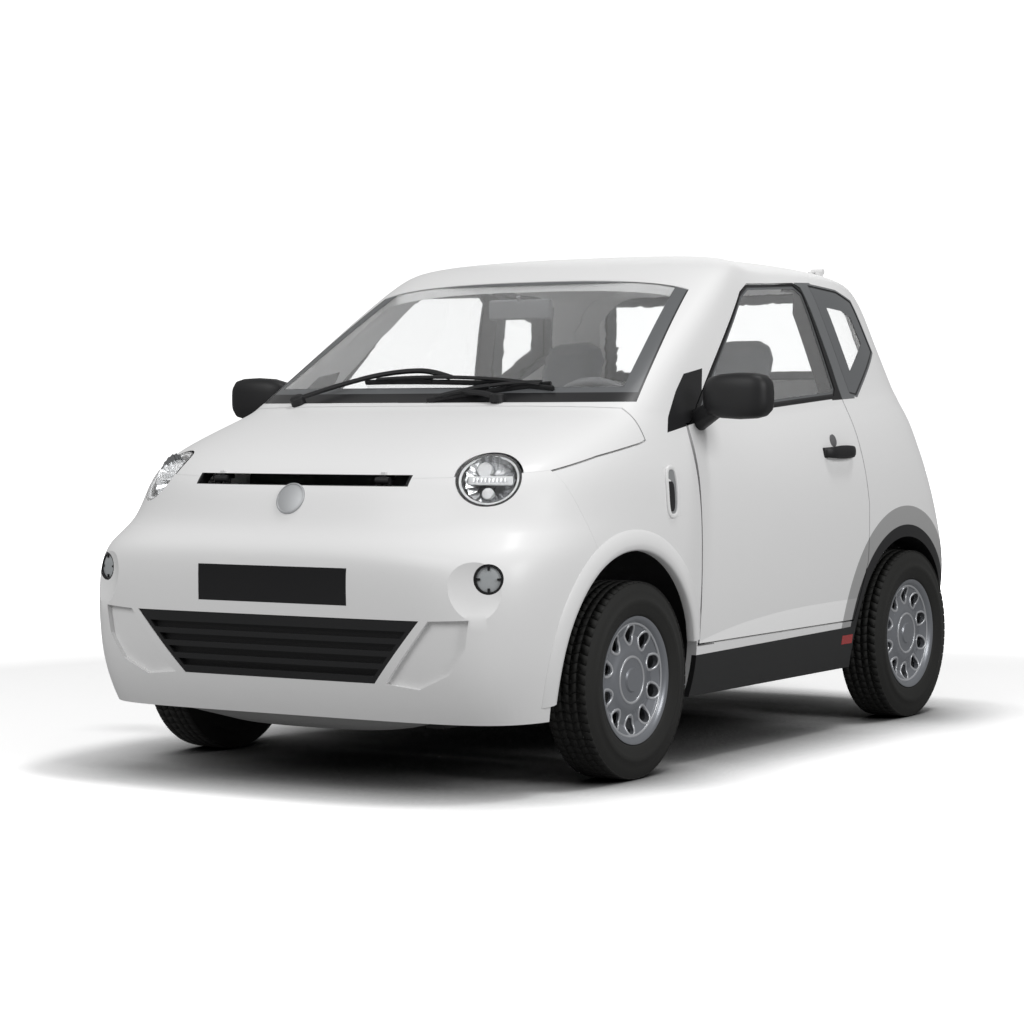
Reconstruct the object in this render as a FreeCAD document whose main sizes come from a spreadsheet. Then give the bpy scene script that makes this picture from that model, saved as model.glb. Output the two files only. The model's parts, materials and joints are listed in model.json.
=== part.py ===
import FreeCAD, Part
import Sketcher
import math
import os

# Four-wheeled microcar, three doors, two seats, front wheels steered.
# Frame: +Z up, the nose points along -Y and the car's left is +X; the origin is on the ground
# below the middle of the car.

os.makedirs("parts", exist_ok=True)
doc = FreeCAD.newDocument("microcar")
sheet = doc.addObject("Spreadsheet::Sheet", "sizes")

# Driving dimensions in millimetres and degrees
sizes = {
    "bodyLength": 2758,
    "bodyWidth": 1500,
    "bodyHeight": 1470,
    "frontOverhang": 630,
    "wheelbase": 1720,
    "track": 1360,
    "panelThickness": 30,
    "doorThickness": 60,
    "floorThickness": 30,
    "shutGap": 5,
    "seatGap": 0.3,
    "runningGap": 0.05,
    "doorDraft": 66,
    "glassThickness": 5,
    "glassSetback": 2,
    "tyreRadius": 266.5,
    "tyreWidth": 145,
    "rimRadius": 172,
    "rimWidth": 120,
    "rimWall": 8,
    "wheelDish": 26,
    "wheelHubRadius": 40,
    "coverThickness": 4,
    "coverCrown": 12,
    "capRadius": 30,
    "stubRoom": 2,
    "openingRadius": 122,
    "openingLength": 50,
    "openingWidth": 36,
    "openingCount": 10,
    "stubRadius": 22,
    "kingpinRadius": 14,
    "kingpinOffset": 110,
    "uprightWidth": 56,
    "uprightHeight": 150,
    "strutRadius": 22,
    "strutTubeLength": 190,
    "strutRodRadius": 8,
    "armThickness": 20,
    "armHeight": 165,
    "armSpread": 220,
    "railWidth": 60,
    "railHeight": 40,
    "railSpacing": 660,
    "axleTubeRadius": 28,
    "trailingArmLength": 420,
    "trailingArmWidth": 36,
    "rearSpringRadius": 45,
    "frontArchRadius": 360,
    "frontArchRise": 10,
    "frontArchForward": 20,
    "rearArchRadius": 342,
    "rearArchForward": 48,
    "rearArchDrop": 30,
    "archDepth": 330,
    "linerThickness": 4,
    "doorHingeInset": 24,
    "doorHingeBehind": 40,
    "hingePinRadius": 6,
    "hingeBossRadius": 11,
    "hingeHeight": 50,
    "steeringWheelRadius": 185,
    "steeringRimRadius": 14,
    "columnRadius": 16,
    "columnRake": 26,
    "columnLength": 260,
    "headlampRadius": 84,
    "headlampDepth": 60,
    "fogLampRadius": 39,
    "fogDishRadius": 230,
    "fogDishDepth": 14,
    "scoopDepth": 12,
    "plateLength": 490,
    "plateHeight": 96,
    "plateThickness": 10,
    "seatWidth": 430,
    "seatDepth": 470,
    "seatCushionThickness": 120,
    "seatCushionTop": 500,
    "seatSpacing": 620,
    "backrestHeight": 770,
    "backrestThickness": 100,
    "backrestRake": 16,
    "seatRounding": 25,
    "headrestWidth": 260,
    "powerUnitLength": 420,
    "powerUnitForward": 288,
    "powerUnitHeight": 420,
    "wallThickness": 12,
    "mirrorLength": 190,
    "mirrorRounding": 30,
    "mirrorHeight": 125,
    "mirrorDepth": 85,
    "handleLength": 198,
    "handleHeight": 30,
    "wiperWidth": 9,
    "bladeRise": 10,
    "armRise": 8,
    "roomMirrorStem": 7,
    "roomMirrorLength": 220,
    "roomMirrorHeight": 60,
    "roomMirrorDrop": 45,
    "liftBarrelRadius": 9,
    "liftPinRadius": 4,
    "liftLugWidth": 14,
}
for row, (name, value) in enumerate(sizes.items(), start=1):
    sheet.set("A%d" % row, name)
    sheet.set("B%d" % row, str(value))
    sheet.setAlias("B%d" % row, name)
doc.recompute()


def size(name):
    return float(sheet.get(name))


def vector(x, y, z):
    return FreeCAD.Vector(x, y, z)


halfLength = size("bodyLength") / 2
halfWidth = size("bodyWidth") / 2
height = size("bodyHeight")
wheelbase = size("wheelbase")
frontAxleY = size("frontOverhang") - halfLength
rearAxleY = frontAxleY + wheelbase
axleZ = size("tyreRadius")
gap = size("shutGap")
seat = size("seatGap")
reach = size("bodyLength")

# Body form: closed rings stacked from the sill line to the roof.
# Each row: nose y and z, side x and z, tail y and z, ring centre y, then the roundness of the nose
# (across, along) and of the tail (across, along). Lengths are shares of half the body length,
# half the body width and the body height.
ringShares = [
    (-0.9570, 0.129, 0.950, 0.129, 0.9370, 0.129, 0.000, 6.0, 14.0, 6.0, 20.0),
    (-0.9840, 0.184, 0.976, 0.194, 0.9720, 0.184, 0.000, 6.0, 14.0, 6.0, 20.0),
    (-0.9980, 0.272, 0.992, 0.272, 0.9960, 0.272, 0.000, 6.0, 13.0, 6.0, 20.0),
    (-1.0035, 0.374, 0.999, 0.354, 1.0020, 0.340, 0.000, 5.6, 12.0, 6.0, 18.0),
    (-0.9980, 0.433, 1.001, 0.422, 0.9920, 0.408, 0.000, 4.6, 10.0, 5.0, 16.0),
    (-0.9580, 0.462, 0.998, 0.483, 0.9750, 0.476, 0.000, 3.0, 8.0, 5.0, 14.0),
    (-0.9300, 0.545, 0.990, 0.537, 0.9590, 0.544, 0.000, 3.2, 7.0, 4.5, 12.0),
    (-0.8700, 0.590, 0.973, 0.582, 0.9440, 0.605, 0.007, 3.2, 6.5, 4.0, 11.0),
    (-0.7690, 0.624, 0.953, 0.616, 0.9310, 0.656, 0.015, 3.0, 6.5, 4.0, 10.0),
    (-0.6530, 0.653, 0.934, 0.639, 0.9220, 0.690, 0.036, 2.7, 8.0, 3.5, 9.0),
    (-0.5730, 0.671, 0.923, 0.652, 0.9170, 0.711, 0.058, 2.5, 10.0, 3.5, 8.5),
    (-0.5330, 0.680, 0.915, 0.660, 0.9140, 0.722, 0.073, 2.5, 13.0, 3.5, 8.0),
    (-0.4640, 0.718, 0.896, 0.694, 0.9050, 0.748, 0.080, 2.5, 13.0, 3.5, 8.0),
    (-0.3480, 0.784, 0.871, 0.748, 0.8900, 0.793, 0.094, 2.5, 12.0, 3.5, 7.5),
    (-0.2180, 0.859, 0.844, 0.806, 0.8720, 0.840, 0.116, 2.5, 11.0, 3.5, 7.0),
    (-0.1020, 0.922, 0.815, 0.864, 0.8540, 0.884, 0.138, 2.5, 10.0, 3.5, 7.0),
    (-0.0360, 0.954, 0.789, 0.908, 0.8380, 0.918, 0.152, 2.5, 9.0, 3.5, 6.5),
    (0.0070, 0.971, 0.765, 0.937, 0.8190, 0.941, 0.167, 2.5, 8.0, 3.5, 6.0),
    (0.0650, 0.982, 0.727, 0.956, 0.7870, 0.954, 0.189, 2.5, 6.0, 3.0, 5.5),
    (0.1380, 0.990, 0.653, 0.969, 0.7320, 0.968, 0.232, 2.5, 5.0, 3.0, 5.0),
    (0.2390, 0.996, 0.507, 0.984, 0.6380, 0.984, 0.305, 2.5, 4.0, 3.0, 4.0),
    (0.3260, 1.000, 0.240, 1.000, 0.5080, 1.000, 0.392, 2.2, 2.2, 2.2, 2.2),
]
ringRiseShare = 1.3
pointsPerQuarter = 14
samplesPerQuarter = 600
crossDegree = 3


def quarterCurve(across, along, roundAcross, roundAlong):
    """One quarter of a ring from its nose or tail point to its widest point."""
    dense = []
    for step in range(samplesPerQuarter + 1):
        turn = math.pi / 2 * step / samplesPerQuarter
        x = across * math.sin(turn) ** (2 / roundAcross)
        y = along * math.cos(turn) ** (2 / roundAlong)
        dense.append((x, y))
    travel = [0.0]
    bend = [0.0]
    for before, after in zip(dense, dense[1:]):
        dx = after[0] - before[0]
        dy = after[1] - before[1]
        travel.append(travel[-1] + math.hypot(dx, dy))
        bend.append(max(bend[-1], math.atan2(-dy, dx)))
    measure = [s / travel[-1] + b / bend[-1] for s, b in zip(travel, bend)]
    points = []
    at = 0
    for count in range(pointsPerQuarter + 1):
        goal = measure[-1] * count / pointsPerQuarter
        while at < samplesPerQuarter - 1 and measure[at + 1] < goal:
            at += 1
        part = (goal - measure[at]) / (measure[at + 1] - measure[at])
        x = dense[at][0] + part * (dense[at + 1][0] - dense[at][0])
        y = dense[at][1] + part * (dense[at + 1][1] - dense[at][1])
        points.append((x, y))
    points[0] = (0.0, along)
    points[-1] = (across, 0.0)
    return points


def offsetProfile(profile, inset, outward):
    """Moves each point of a profile inwards along the profile's own normal."""
    moved = []
    last = len(profile) - 1
    for index, (run, rise) in enumerate(profile):
        before = profile[max(index - 1, 0)]
        after = profile[min(index + 1, last)]
        dRun = (after[0] - before[0]) * outward
        dRise = after[1] - before[1]
        long = math.hypot(dRun, dRise)
        moved.append((run - outward * inset * dRise / long, rise + inset * dRun / long))
    return moved


def bodyForm(inset, floor=0.0):
    """Solid inside the body's outer surface, set in by a wall thickness."""
    nose = [(row[0] * halfLength, row[1] * height) for row in ringShares]
    side = [(row[2] * halfWidth, row[3] * height) for row in ringShares]
    tail = [(row[4] * halfLength, row[5] * height) for row in ringShares]
    if inset:
        nose = offsetProfile(nose, inset, -1)
        side = offsetProfile(side, inset, 1)
        tail = offsetProfile(tail, inset, 1)
    bottom = ringShares[0][1] * height + floor
    top = ringShares[-1][1] * height - inset
    grid = []
    last = len(ringShares) - 1
    for index, row in enumerate(ringShares):
        noseY, noseZ = nose[index]
        sideX, sideZ = side[index]
        tailY, tailZ = tail[index]
        if index == 0:
            noseZ = sideZ = tailZ = bottom
        if index == last:
            noseZ = sideZ = tailZ = top
        centre = row[6] * halfLength
        front = quarterCurve(sideX, centre - noseY, row[7], row[8])
        rear = quarterCurve(sideX, tailY - centre, row[9], row[10])
        left = []
        for x, y in front:
            rise = (y / (centre - noseY)) ** ringRiseShare
            left.append(vector(x, centre - y, sideZ + (noseZ - sideZ) * rise))
        for x, y in reversed(rear[:-1]):
            rise = (y / (tailY - centre)) ** ringRiseShare
            left.append(vector(x, centre + y, sideZ + (tailZ - sideZ) * rise))
        right = [vector(-p.x, p.y, p.z) for p in reversed(left[1:-1])]
        grid.append(left + right)
    around = len(grid[0])
    rings = len(grid)
    poles = [[grid[up][index] for up in range(rings)] for index in range(around)]
    surface = Part.BSplineSurface()
    surface.buildFromPolesMultsKnots(
        poles,
        [1] * (around + 1),
        [crossDegree + 1] + [1] * (rings - crossDegree - 1) + [crossDegree + 1],
        list(range(around + 1)),
        list(range(rings - crossDegree + 1)),
        True,
        False,
        crossDegree,
        crossDegree,
    )
    skin = surface.toShape()
    caps = [Part.Face(Part.Wire([edge])) for edge in skin.Edges if edge.isClosed()]
    shell = Part.makeShell([skin] + caps)
    shell.sewShape()
    return Part.makeSolid(shell)


def sidePoints(shares, x=0.0):
    """Points of a side view: y as a share of the wheelbase behind the front axle, z of the height."""
    return [vector(x, frontAxleY + y * wheelbase, z * height) for y, z in shares]


def polygon(points):
    return Part.Face(Part.makePolygon(points + [points[0]]))


def offsetOutline(points, distance, first, second):
    """Polygon with each edge moved outwards by a distance, in the plane of two of its axes."""
    flat = [(p[first], p[second]) for p in points]
    count = len(flat)
    area = sum(
        flat[i][0] * flat[(i + 1) % count][1] - flat[(i + 1) % count][0] * flat[i][1]
        for i in range(count)
    )
    turn = 1 if area > 0 else -1
    moved = []
    for i in range(count):
        before, here, after = flat[i - 1], flat[i], flat[(i + 1) % count]
        a = (here[0] - before[0], here[1] - before[1])
        b = (after[0] - here[0], after[1] - here[1])
        la, lb = math.hypot(*a), math.hypot(*b)
        na = (turn * a[1] / la, -turn * a[0] / la)
        nb = (turn * b[1] / lb, -turn * b[0] / lb)
        scale = distance / (1 + na[0] * nb[0] + na[1] * nb[1])
        spot = vector(*points[i])
        spot[first] += (na[0] + nb[0]) * scale
        spot[second] += (na[1] + nb[1]) * scale
        moved.append(spot)
    return moved


def sidePrism(shares, grow=0.0, low=0.0, high=0.0):
    """Side-view outline swept across the car from x = low to x = high."""
    points = sidePoints(shares, low)
    if grow:
        points = offsetOutline(points, grow, 1, 2)
    return polygon(points).extrude(vector(high - low, 0, 0))


def sidePlug(shares, grow, low, high, draft):
    """Side-view outline that narrows by a draft from x = high to x = low."""
    wide = offsetOutline(sidePoints(shares, high), grow, 1, 2)
    narrow = offsetOutline(sidePoints(shares, low), grow - draft, 1, 2)
    wires = [Part.makePolygon(ring + [ring[0]]) for ring in (narrow, wide)]
    return Part.makeLoft(wires, True, True)


def mirrored(shape):
    return shape.mirror(vector(0, 0, 0), vector(1, 0, 0))


def box(x0, x1, y0, y1, z0, z1):
    return Part.makeBox(x1 - x0, y1 - y0, z1 - z0, vector(x0, y0, z0))


def rod(start, end, radius):
    along = end - start
    return Part.makeCylinder(radius, along.Length, start, along)


def solids(shape):
    """The shape as one solid, or as a compound of its solids."""
    found = [s for s in shape.Solids if s.Volume > 1]
    return found[0] if len(found) == 1 else Part.makeCompound(found)


nodes = []


def feature(name, shape):
    """Adds a free-form sub-part to the document."""
    item = doc.addObject("Part::Feature", name)
    item.Shape = solids(shape)
    item.Label = name
    nodes.append(item)
    return item


def bound(item, rules):
    """Binds properties of an object to the sheet."""
    for key, rule in rules.items():
        item.setExpression(key, rule)
    return item


def placed(item, x, y, z):
    return bound(item, {"Placement.Base.x": x, "Placement.Base.y": y, "Placement.Base.z": z})


def turned(item, axis, angle):
    item.Placement = FreeCAD.Placement(vector(0, 0, 0), FreeCAD.Rotation(vector(*axis), angle))
    return item


def upright(name, radius, length, x, y, z):
    """Cylinder that stands on its end."""
    item = bound(doc.addObject("Part::Cylinder", name), {"Radius": radius, "Height": length})
    return placed(item, x, y, z)


def crosswise(name, radius, length, x, y, z):
    """Cylinder across the car, from x towards the left."""
    item = turned(doc.addObject("Part::Cylinder", name), (0, 1, 0), 90)
    return placed(bound(item, {"Radius": radius, "Height": length}), x, y, z)


def block(name, wide, long, tall, x, y, z):
    item = bound(doc.addObject("Part::Box", name), {"Length": wide, "Width": long, "Height": tall})
    return placed(item, x, y, z)


def fused(name, pieces):
    item = doc.addObject("Part::MultiFuse", name)
    item.Shapes = pieces
    return item


def grouped(name, pieces):
    item = doc.addObject("Part::Compound", name)
    item.Links = pieces
    return item


def cut(name, base, tool):
    item = doc.addObject("Part::Cut", name)
    item.Base = base
    item.Tool = tool
    return item


def mirror(name, source):
    item = doc.addObject("Part::Mirroring", name)
    item.Source = source
    item.Normal = vector(1, 0, 0)
    return item


def node(item, name):
    """Names the object that is written as one sub-part."""
    item.Label = name
    nodes.append(item)
    return item


def profile(body, name, role, points):
    """Closed outline on an origin plane of a body, each corner bound to the sheet."""
    plane = next(item for item in body.Origin.OriginFeatures if item.Role == role)
    sketch = body.newObject("Sketcher::SketchObject", name)
    sketch.AttachmentSupport = [(plane, "")]
    sketch.MapMode = "FlatFace"
    count = len(points)
    turn = 2 * math.pi / count
    spots = [vector(math.cos(turn * i), math.sin(turn * i), 0) for i in range(count)]
    sketch.addGeometry([Part.LineSegment(spots[i - 1], spots[i]) for i in range(count)], False)
    sketch.addConstraint([Sketcher.Constraint("Coincident", i - 1, 2, i, 1) for i in range(1, count)])
    sketch.addConstraint(Sketcher.Constraint("Coincident", count - 1, 2, 0, 1))
    for i, rules in enumerate(points):
        for kind, rule, start in zip(("DistanceX", "DistanceY"), rules, spots[i]):
            at = sketch.addConstraint(Sketcher.Constraint(kind, -1, 1, i, 2, start))
            sketch.setExpression("Constraints[%d]" % at, rule)
    return sketch


def roundProfile(body, name, role, radius, x, y):
    """Circle on an origin plane of a body, its radius and centre bound to the sheet."""
    plane = next(item for item in body.Origin.OriginFeatures if item.Role == role)
    sketch = body.newObject("Sketcher::SketchObject", name)
    sketch.AttachmentSupport = [(plane, "")]
    sketch.MapMode = "FlatFace"
    sketch.addGeometry(Part.Circle(vector(1, 1, 0), vector(0, 0, 1), 1), False)
    rules = (("Radius", (0,), radius), ("DistanceX", (-1, 1, 0, 3), x), ("DistanceY", (-1, 1, 0, 3), y))
    for kind, where, rule in rules:
        at = sketch.addConstraint(Sketcher.Constraint(kind, *where, 1.0))
        sketch.setExpression("Constraints[%d]" % at, rule)
    return sketch


def step(body, kind, name, **settings):
    """Adds one feature to a body and checks that it changed the solid the right way."""
    before = body.Shape.Volume if body.Tip else 0.0
    item = body.newObject("PartDesign::" + kind, name)
    for key, value in settings.items():
        if isinstance(value, str) and value.startswith("="):
            item.setExpression(key, value[1:])
        else:
            setattr(item, key, value)
    doc.recompute()
    change = item.Shape.Volume - before
    if kind in ("Pocket", "Groove", "Hole") and change >= 0 or kind in ("Pad", "Revolution") and change <= 0:
        raise RuntimeError("%s of %s changed nothing" % (name, body.Label))
    return item


# Side-view outlines, as shares of the wheelbase behind the front axle and of the height
doorShares = [
    (0.202, 0.228), (0.202, 0.388), (0.202, 0.544), (0.202, 0.644), (0.224, 0.658),
    (0.486, 0.921), (0.528, 0.943), (0.720, 0.953), (0.752, 0.938), (0.786, 0.760),
    (0.800, 0.640), (0.818, 0.470), (0.812, 0.350), (0.766, 0.228),
]
doorWindowShares = [
    (0.246, 0.660), (0.492, 0.902), (0.530, 0.921), (0.712, 0.930), (0.736, 0.914),
    (0.770, 0.712), (0.760, 0.698),
]
quarterWindowShares = [
    (0.773, 0.932), (0.885, 0.922), (0.942, 0.902), (0.977, 0.793), (0.850, 0.699),
    (0.824, 0.703),
]
bonnetShares = [
    (-0.500, 0.546), (-0.308, 0.552), (-0.166, 0.568), (-0.067, 0.592), (0.048, 0.613),
    (0.064, 0.618), (0.064, 0.760), (-0.500, 0.760),
]
frontBumperShares = [
    (-0.500, 0.000), (-0.120, 0.000), (-0.100, 0.380), (-0.157, 0.548), (-0.166, 0.568),
    (-0.308, 0.552), (-0.500, 0.546),
]
rearBumperShares = [
    (1.135, 0.000), (1.148, 0.250), (1.158, 0.380), (1.166, 0.425), (1.400, 0.425),
    (1.400, 0.000),
]
sillShares = [(0.180, 0.000), (0.790, 0.000), (0.790, 0.216), (0.180, 0.208)]
dashboardShares = [(0.108, 0.420), (0.108, 0.610), (0.150, 0.632), (0.235, 0.610), (0.250, 0.560),
                   (0.190, 0.430)]
hatchShareY = 1.020
tailLampShareY = 1.140
railLengthShare = 0.80
crossMemberShares = (-0.360, -0.100, 0.120, 0.375)
openingTaperShare = 0.75
tyreShares = [(-1.00, 0.82), (-0.80, 1.0), (0.80, 1.0), (1.00, 0.82)]
noseScoopShares = [(0.655, 0.311), (0.800, 0.314), (0.785, 0.262), (0.720, 0.217), (0.600, 0.190),
                   (0.465, 0.197)]
# Side view of a seat: run as a share of the seat depth, rise as a share of the cushion's thickness
cushionShares = [(0.98, -0.90), (0.00, -0.90), (0.00, -0.20), (0.12, 0.00), (0.60, -0.08), (0.98, 0.05)]
# Up the backrest: height as a share of its height, thickness there as a share of its thickness
backFrontShares = [(0.45, 0.10), (0.74, 0.00), (0.94, 0.05)]
backRearShares = [(0.965, 0.55), (0.72, 0.95), (0.00, 0.90)]
headrestShare = 0.74
plateShareZ = 0.366
bulkheadShareZ = 0.630
doorSideShare = 0.985
hingeHeightShares = (0.300, 0.500)
sillInnerShare = 0.860
columnShare = (0.200, 0.540)
seatShare = 0.400
bonnetHingeShare = 0.330
hatchHingeShare = 0.500
scoopShares = [(0.092, 0.470), (0.134, 0.475), (0.138, 0.560), (0.120, 0.573), (0.092, 0.565)]
wiperShares = [
    [(-0.528, 0.703), (-0.270, 0.728), (0.120, 0.728)],
    [(-0.305, 0.722), (0.000, 0.728), (0.300, 0.728), (0.545, 0.722)],
    [(0.353, 0.703), (0.420, 0.709), (0.470, 0.711)],
    [(0.075, 0.706), (0.250, 0.710), (0.420, 0.711), (0.565, 0.710)],
]
markerShares = [(0.728, 0.180), (0.770, 0.180), (0.770, 0.199), (0.728, 0.199)]
roomMirrorShareZ = 0.905
mirrorShareZ = 0.698
mirrorInnerShare = 1.000
handleShare = (0.655, 0.580)
# Front-view and rear-view outlines, as shares of the half width and of the height
windscreenShares = [
    (-0.862, 0.688), (0.862, 0.688), (0.700, 0.944), (0.660, 0.954), (-0.660, 0.954),
    (-0.700, 0.944),
]
tailgateShares = [
    (-0.740, 0.432), (0.740, 0.432), (0.790, 0.560), (0.770, 0.700), (0.690, 0.930),
    (0.640, 1.100), (-0.640, 1.100), (-0.690, 0.930), (-0.770, 0.700), (-0.790, 0.560),
]
tailLampShares = [(0.830, 0.530), (1.200, 0.530), (1.200, 0.680), (0.800, 0.680)]
grilleShares = [(-0.420, 0.197), (0.420, 0.197), (0.620, 0.311), (-0.620, 0.311)]
slotShares = [(-0.460, 0.541), (0.460, 0.541), (0.460, 0.560), (-0.460, 0.560)]
tailgateWindowShares = [
    (-0.690, 0.735), (0.690, 0.735), (0.610, 0.920), (0.580, 0.930), (-0.580, 0.930),
    (-0.610, 0.920),
]


def endPrism(shares, grow, low, high):
    """Front-view or rear-view outline swept along the car from y = low to y = high."""
    points = [vector(x * halfWidth, low, z * height) for x, z in shares]
    if grow:
        points = offsetOutline(points, grow, 0, 2)
    return polygon(points).extrude(vector(0, high - low, 0))


# Nested body forms
panel = size("panelThickness")
doorDepth = size("doorThickness")
floor = size("floorThickness")
bodyBottom = ringShares[0][1] * height
outerForm = bodyForm(0.0)
panelForm = bodyForm(panel, floor)
doorForm = bodyForm(doorDepth, floor)
glassOuter = bodyForm(size("glassSetback"))
glassInner = bodyForm(size("glassSetback") + size("glassThickness"))
glassSkin = glassOuter.cut(glassInner)
panelSkin = outerForm.cut(panelForm)
doorSkin = outerForm.cut(doorForm)

# Where a straight line first meets the outer surface


def surfacePoint(start, end):
    crossing = Part.makeLine(start, end).common(outerForm)
    return min(crossing.Vertexes, key=lambda v: v.Point.distanceToPoint(start)).Point


def roofPoint(x, y):
    return surfacePoint(vector(x, y, height * 2), vector(x, y, 0))


def sidePoint(y, z):
    return surfacePoint(vector(halfWidth * 2, y, z), vector(0, y, z))


# Cutters
middleY = (frontAxleY + rearAxleY) / 2
screenEndY = middleY - wheelbase / 8
cowlRow = ringShares[11]
cowlCentre = cowlRow[6] * halfLength
cowlNose = cowlRow[0] * halfLength
plugLow = halfWidth / 2


def cowlPrism(grow):
    """Everything ahead of the windscreen's foot, seen from above."""
    arc = quarterCurve(cowlRow[2] * halfWidth, cowlCentre - cowlNose, cowlRow[7], cowlRow[8])
    edge = [vector(x, cowlCentre - y - gap + grow, 0) for x, y in arc if y > 0]
    edge = [vector(-p.x, p.y, 0) for p in reversed(edge[1:])] + edge
    edge = [vector(-reach, edge[0].y, 0)] + edge + [vector(reach, edge[-1].y, 0)]
    edge = [vector(-reach, -reach, 0)] + edge + [vector(reach, -reach, 0)]
    return polygon(edge).extrude(vector(0, 0, height))


def lengthwise(x0, x1, y, z, radius):
    """Cylinder across the car."""
    return Part.makeCylinder(radius, x1 - x0, vector(x0, y, z), vector(1, 0, 0))


archInner = halfWidth - size("archDepth")
frontArchY = frontAxleY - size("frontArchForward")
frontArchZ = axleZ + size("frontArchRise")
frontArchRadius = size("frontArchRadius")
rearArchY = rearAxleY - size("rearArchForward")
rearArchZ = axleZ - size("rearArchDrop")
rearArchRadius = size("rearArchRadius")
frontArch = lengthwise(archInner, reach, frontArchY, frontArchZ, frontArchRadius)
rearArch = lengthwise(archInner, reach, rearArchY, rearArchZ, rearArchRadius)
archLeft = frontArch.fuse(rearArch)
arches = archLeft.fuse(mirrored(archLeft))

bonnetZone = sidePrism(bonnetShares, 0.0, -reach, reach).common(cowlPrism(0.0))
bonnetHole = sidePrism(bonnetShares, gap, -reach, reach).common(cowlPrism(gap))
bumperZone = sidePrism(frontBumperShares, -seat, -reach, reach)
bumperHole = sidePrism(frontBumperShares, 0.0, -reach, reach)
rearBumperZone = sidePrism(rearBumperShares, -seat, -reach, reach)
rearBumperHole = sidePrism(rearBumperShares, 0.0, -reach, reach)
draft = size("doorDraft")
doorPlug = sidePlug(doorShares, 0.0, plugLow, halfWidth + gap, draft)
doorHole = sidePlug(doorShares, gap, plugLow, halfWidth + gap, draft)
windowHole = sidePrism(doorWindowShares, 0.0, plugLow, reach)
quarterHole = sidePrism(quarterWindowShares, 0.0, plugLow, reach)
windscreenHole = endPrism(windscreenShares, 0.0, -halfLength, screenEndY)
tailgateFront = hatchShareY * wheelbase + frontAxleY
tailgateZone = endPrism(tailgateShares, 0.0, tailgateFront, reach)
tailgateHole = endPrism(tailgateShares, gap, tailgateFront - gap, reach)
tailgateWindowHole = endPrism(tailgateWindowShares, 0.0, tailgateFront + panel * 2, reach)
sillInner = halfWidth * sillInnerShare
sillSkin = outerForm.cut(bodyForm(panel / 2, floor / 2))
sillZone = sidePrism(sillShares, -seat, sillInner + seat, reach)
sillSeat = outerForm.cut(bodyForm(panel / 2 + seat, floor / 2 + seat))
sillHole = sidePrism(sillShares, 0.0, sillInner, reach).common(sillSeat)

# Lamps: each lamp is a round plug let into the skin along its own axis
headlampSpot = vector(0.727 * halfWidth, -0.846 * halfLength, 0.556 * height)
headlampAxis = vector(0.36, -1.0, 0.34)
fogLampSpot = vector(0.837 * halfWidth, -0.930 * halfLength, 0.384 * height)
fogLampAxis = vector(0.35, -1.0, 0.0)


def lampCylinder(spot, axis, radius):
    direction = vector(*axis).normalize()
    start = spot - direction * panel * 6
    return Part.makeCylinder(radius, panel * 12, start, direction)


headRadius = size("headlampRadius")
fogRadius = size("fogLampRadius")
headPlug = lampCylinder(headlampSpot, headlampAxis, headRadius - seat)
headHole = lampCylinder(headlampSpot, headlampAxis, headRadius)
headClear = lampCylinder(headlampSpot, headlampAxis, headRadius + gap)
fogPlug = lampCylinder(fogLampSpot, fogLampAxis, fogRadius - seat)
fogHole = lampCylinder(fogLampSpot, fogLampAxis, fogRadius)
headlampForm = bodyForm(size("headlampDepth"), floor)
fogDirection = vector(*fogLampAxis).normalize()
fogFace = surfacePoint(fogLampSpot + fogDirection * reach, fogLampSpot)
fogDish = Part.makeSphere(size("fogDishRadius"),
                          fogFace + fogDirection * (size("fogDishRadius") - size("fogDishDepth")))
noseScoop = outerForm.cut(bodyForm(size("scoopDepth"))).common(endPrism(noseScoopShares, 0.0, -reach, frontAxleY))
tailLampY = frontAxleY + tailLampShareY * wheelbase
tailLampPlug = endPrism(tailLampShares, -seat, tailLampY + seat, reach)
tailLampHole = endPrism(tailLampShares, 0.0, tailLampY, reach)


def bothSides(shape):
    return shape.fuse(mirrored(shape))


# Nose slot, grille and plate recess
slotHole = endPrism(slotShares, 0.0, -reach, frontAxleY)
grilleHole = endPrism(grilleShares, 0.0, -reach, frontAxleY)
grillePlug = endPrism(grilleShares, -seat, -reach, frontAxleY)
plateZ = plateShareZ * height
plateFront = -halfLength
plateBack = plateFront + size("plateThickness")
plateHalf = size("plateLength") / 2
plateRise = size("plateHeight") / 2
platePocket = box(-plateHalf - seat, plateHalf + seat, -reach, plateBack + seat,
                  plateZ - plateRise - seat, plateZ + plateRise + seat)

# Openings under the engine and over the rear axle
railX = size("railSpacing") / 2
railWide = size("railWidth") / 2
bayHalf = railX - railWide
bayFront = frontAxleY - size("powerUnitForward") - panel * 2
bayRear = frontAxleY + size("powerUnitLength") - size("powerUnitForward") + panel
engineBay = box(-bayHalf, bayHalf, bayFront, bayRear, 0, bodyBottom + floor)
tunnelHalf = size("axleTubeRadius") * 4
wall = size("wallThickness")
tunnelTop = axleZ + size("axleTubeRadius") * 3
tunnelHole = box(-archInner, archInner, rearAxleY - tunnelHalf, rearAxleY + tunnelHalf, 0, tunnelTop)
tunnel = box(-archInner, archInner, rearAxleY - tunnelHalf - wall, rearAxleY + tunnelHalf + wall,
             bodyBottom, tunnelTop + wall).cut(tunnelHole)

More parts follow.
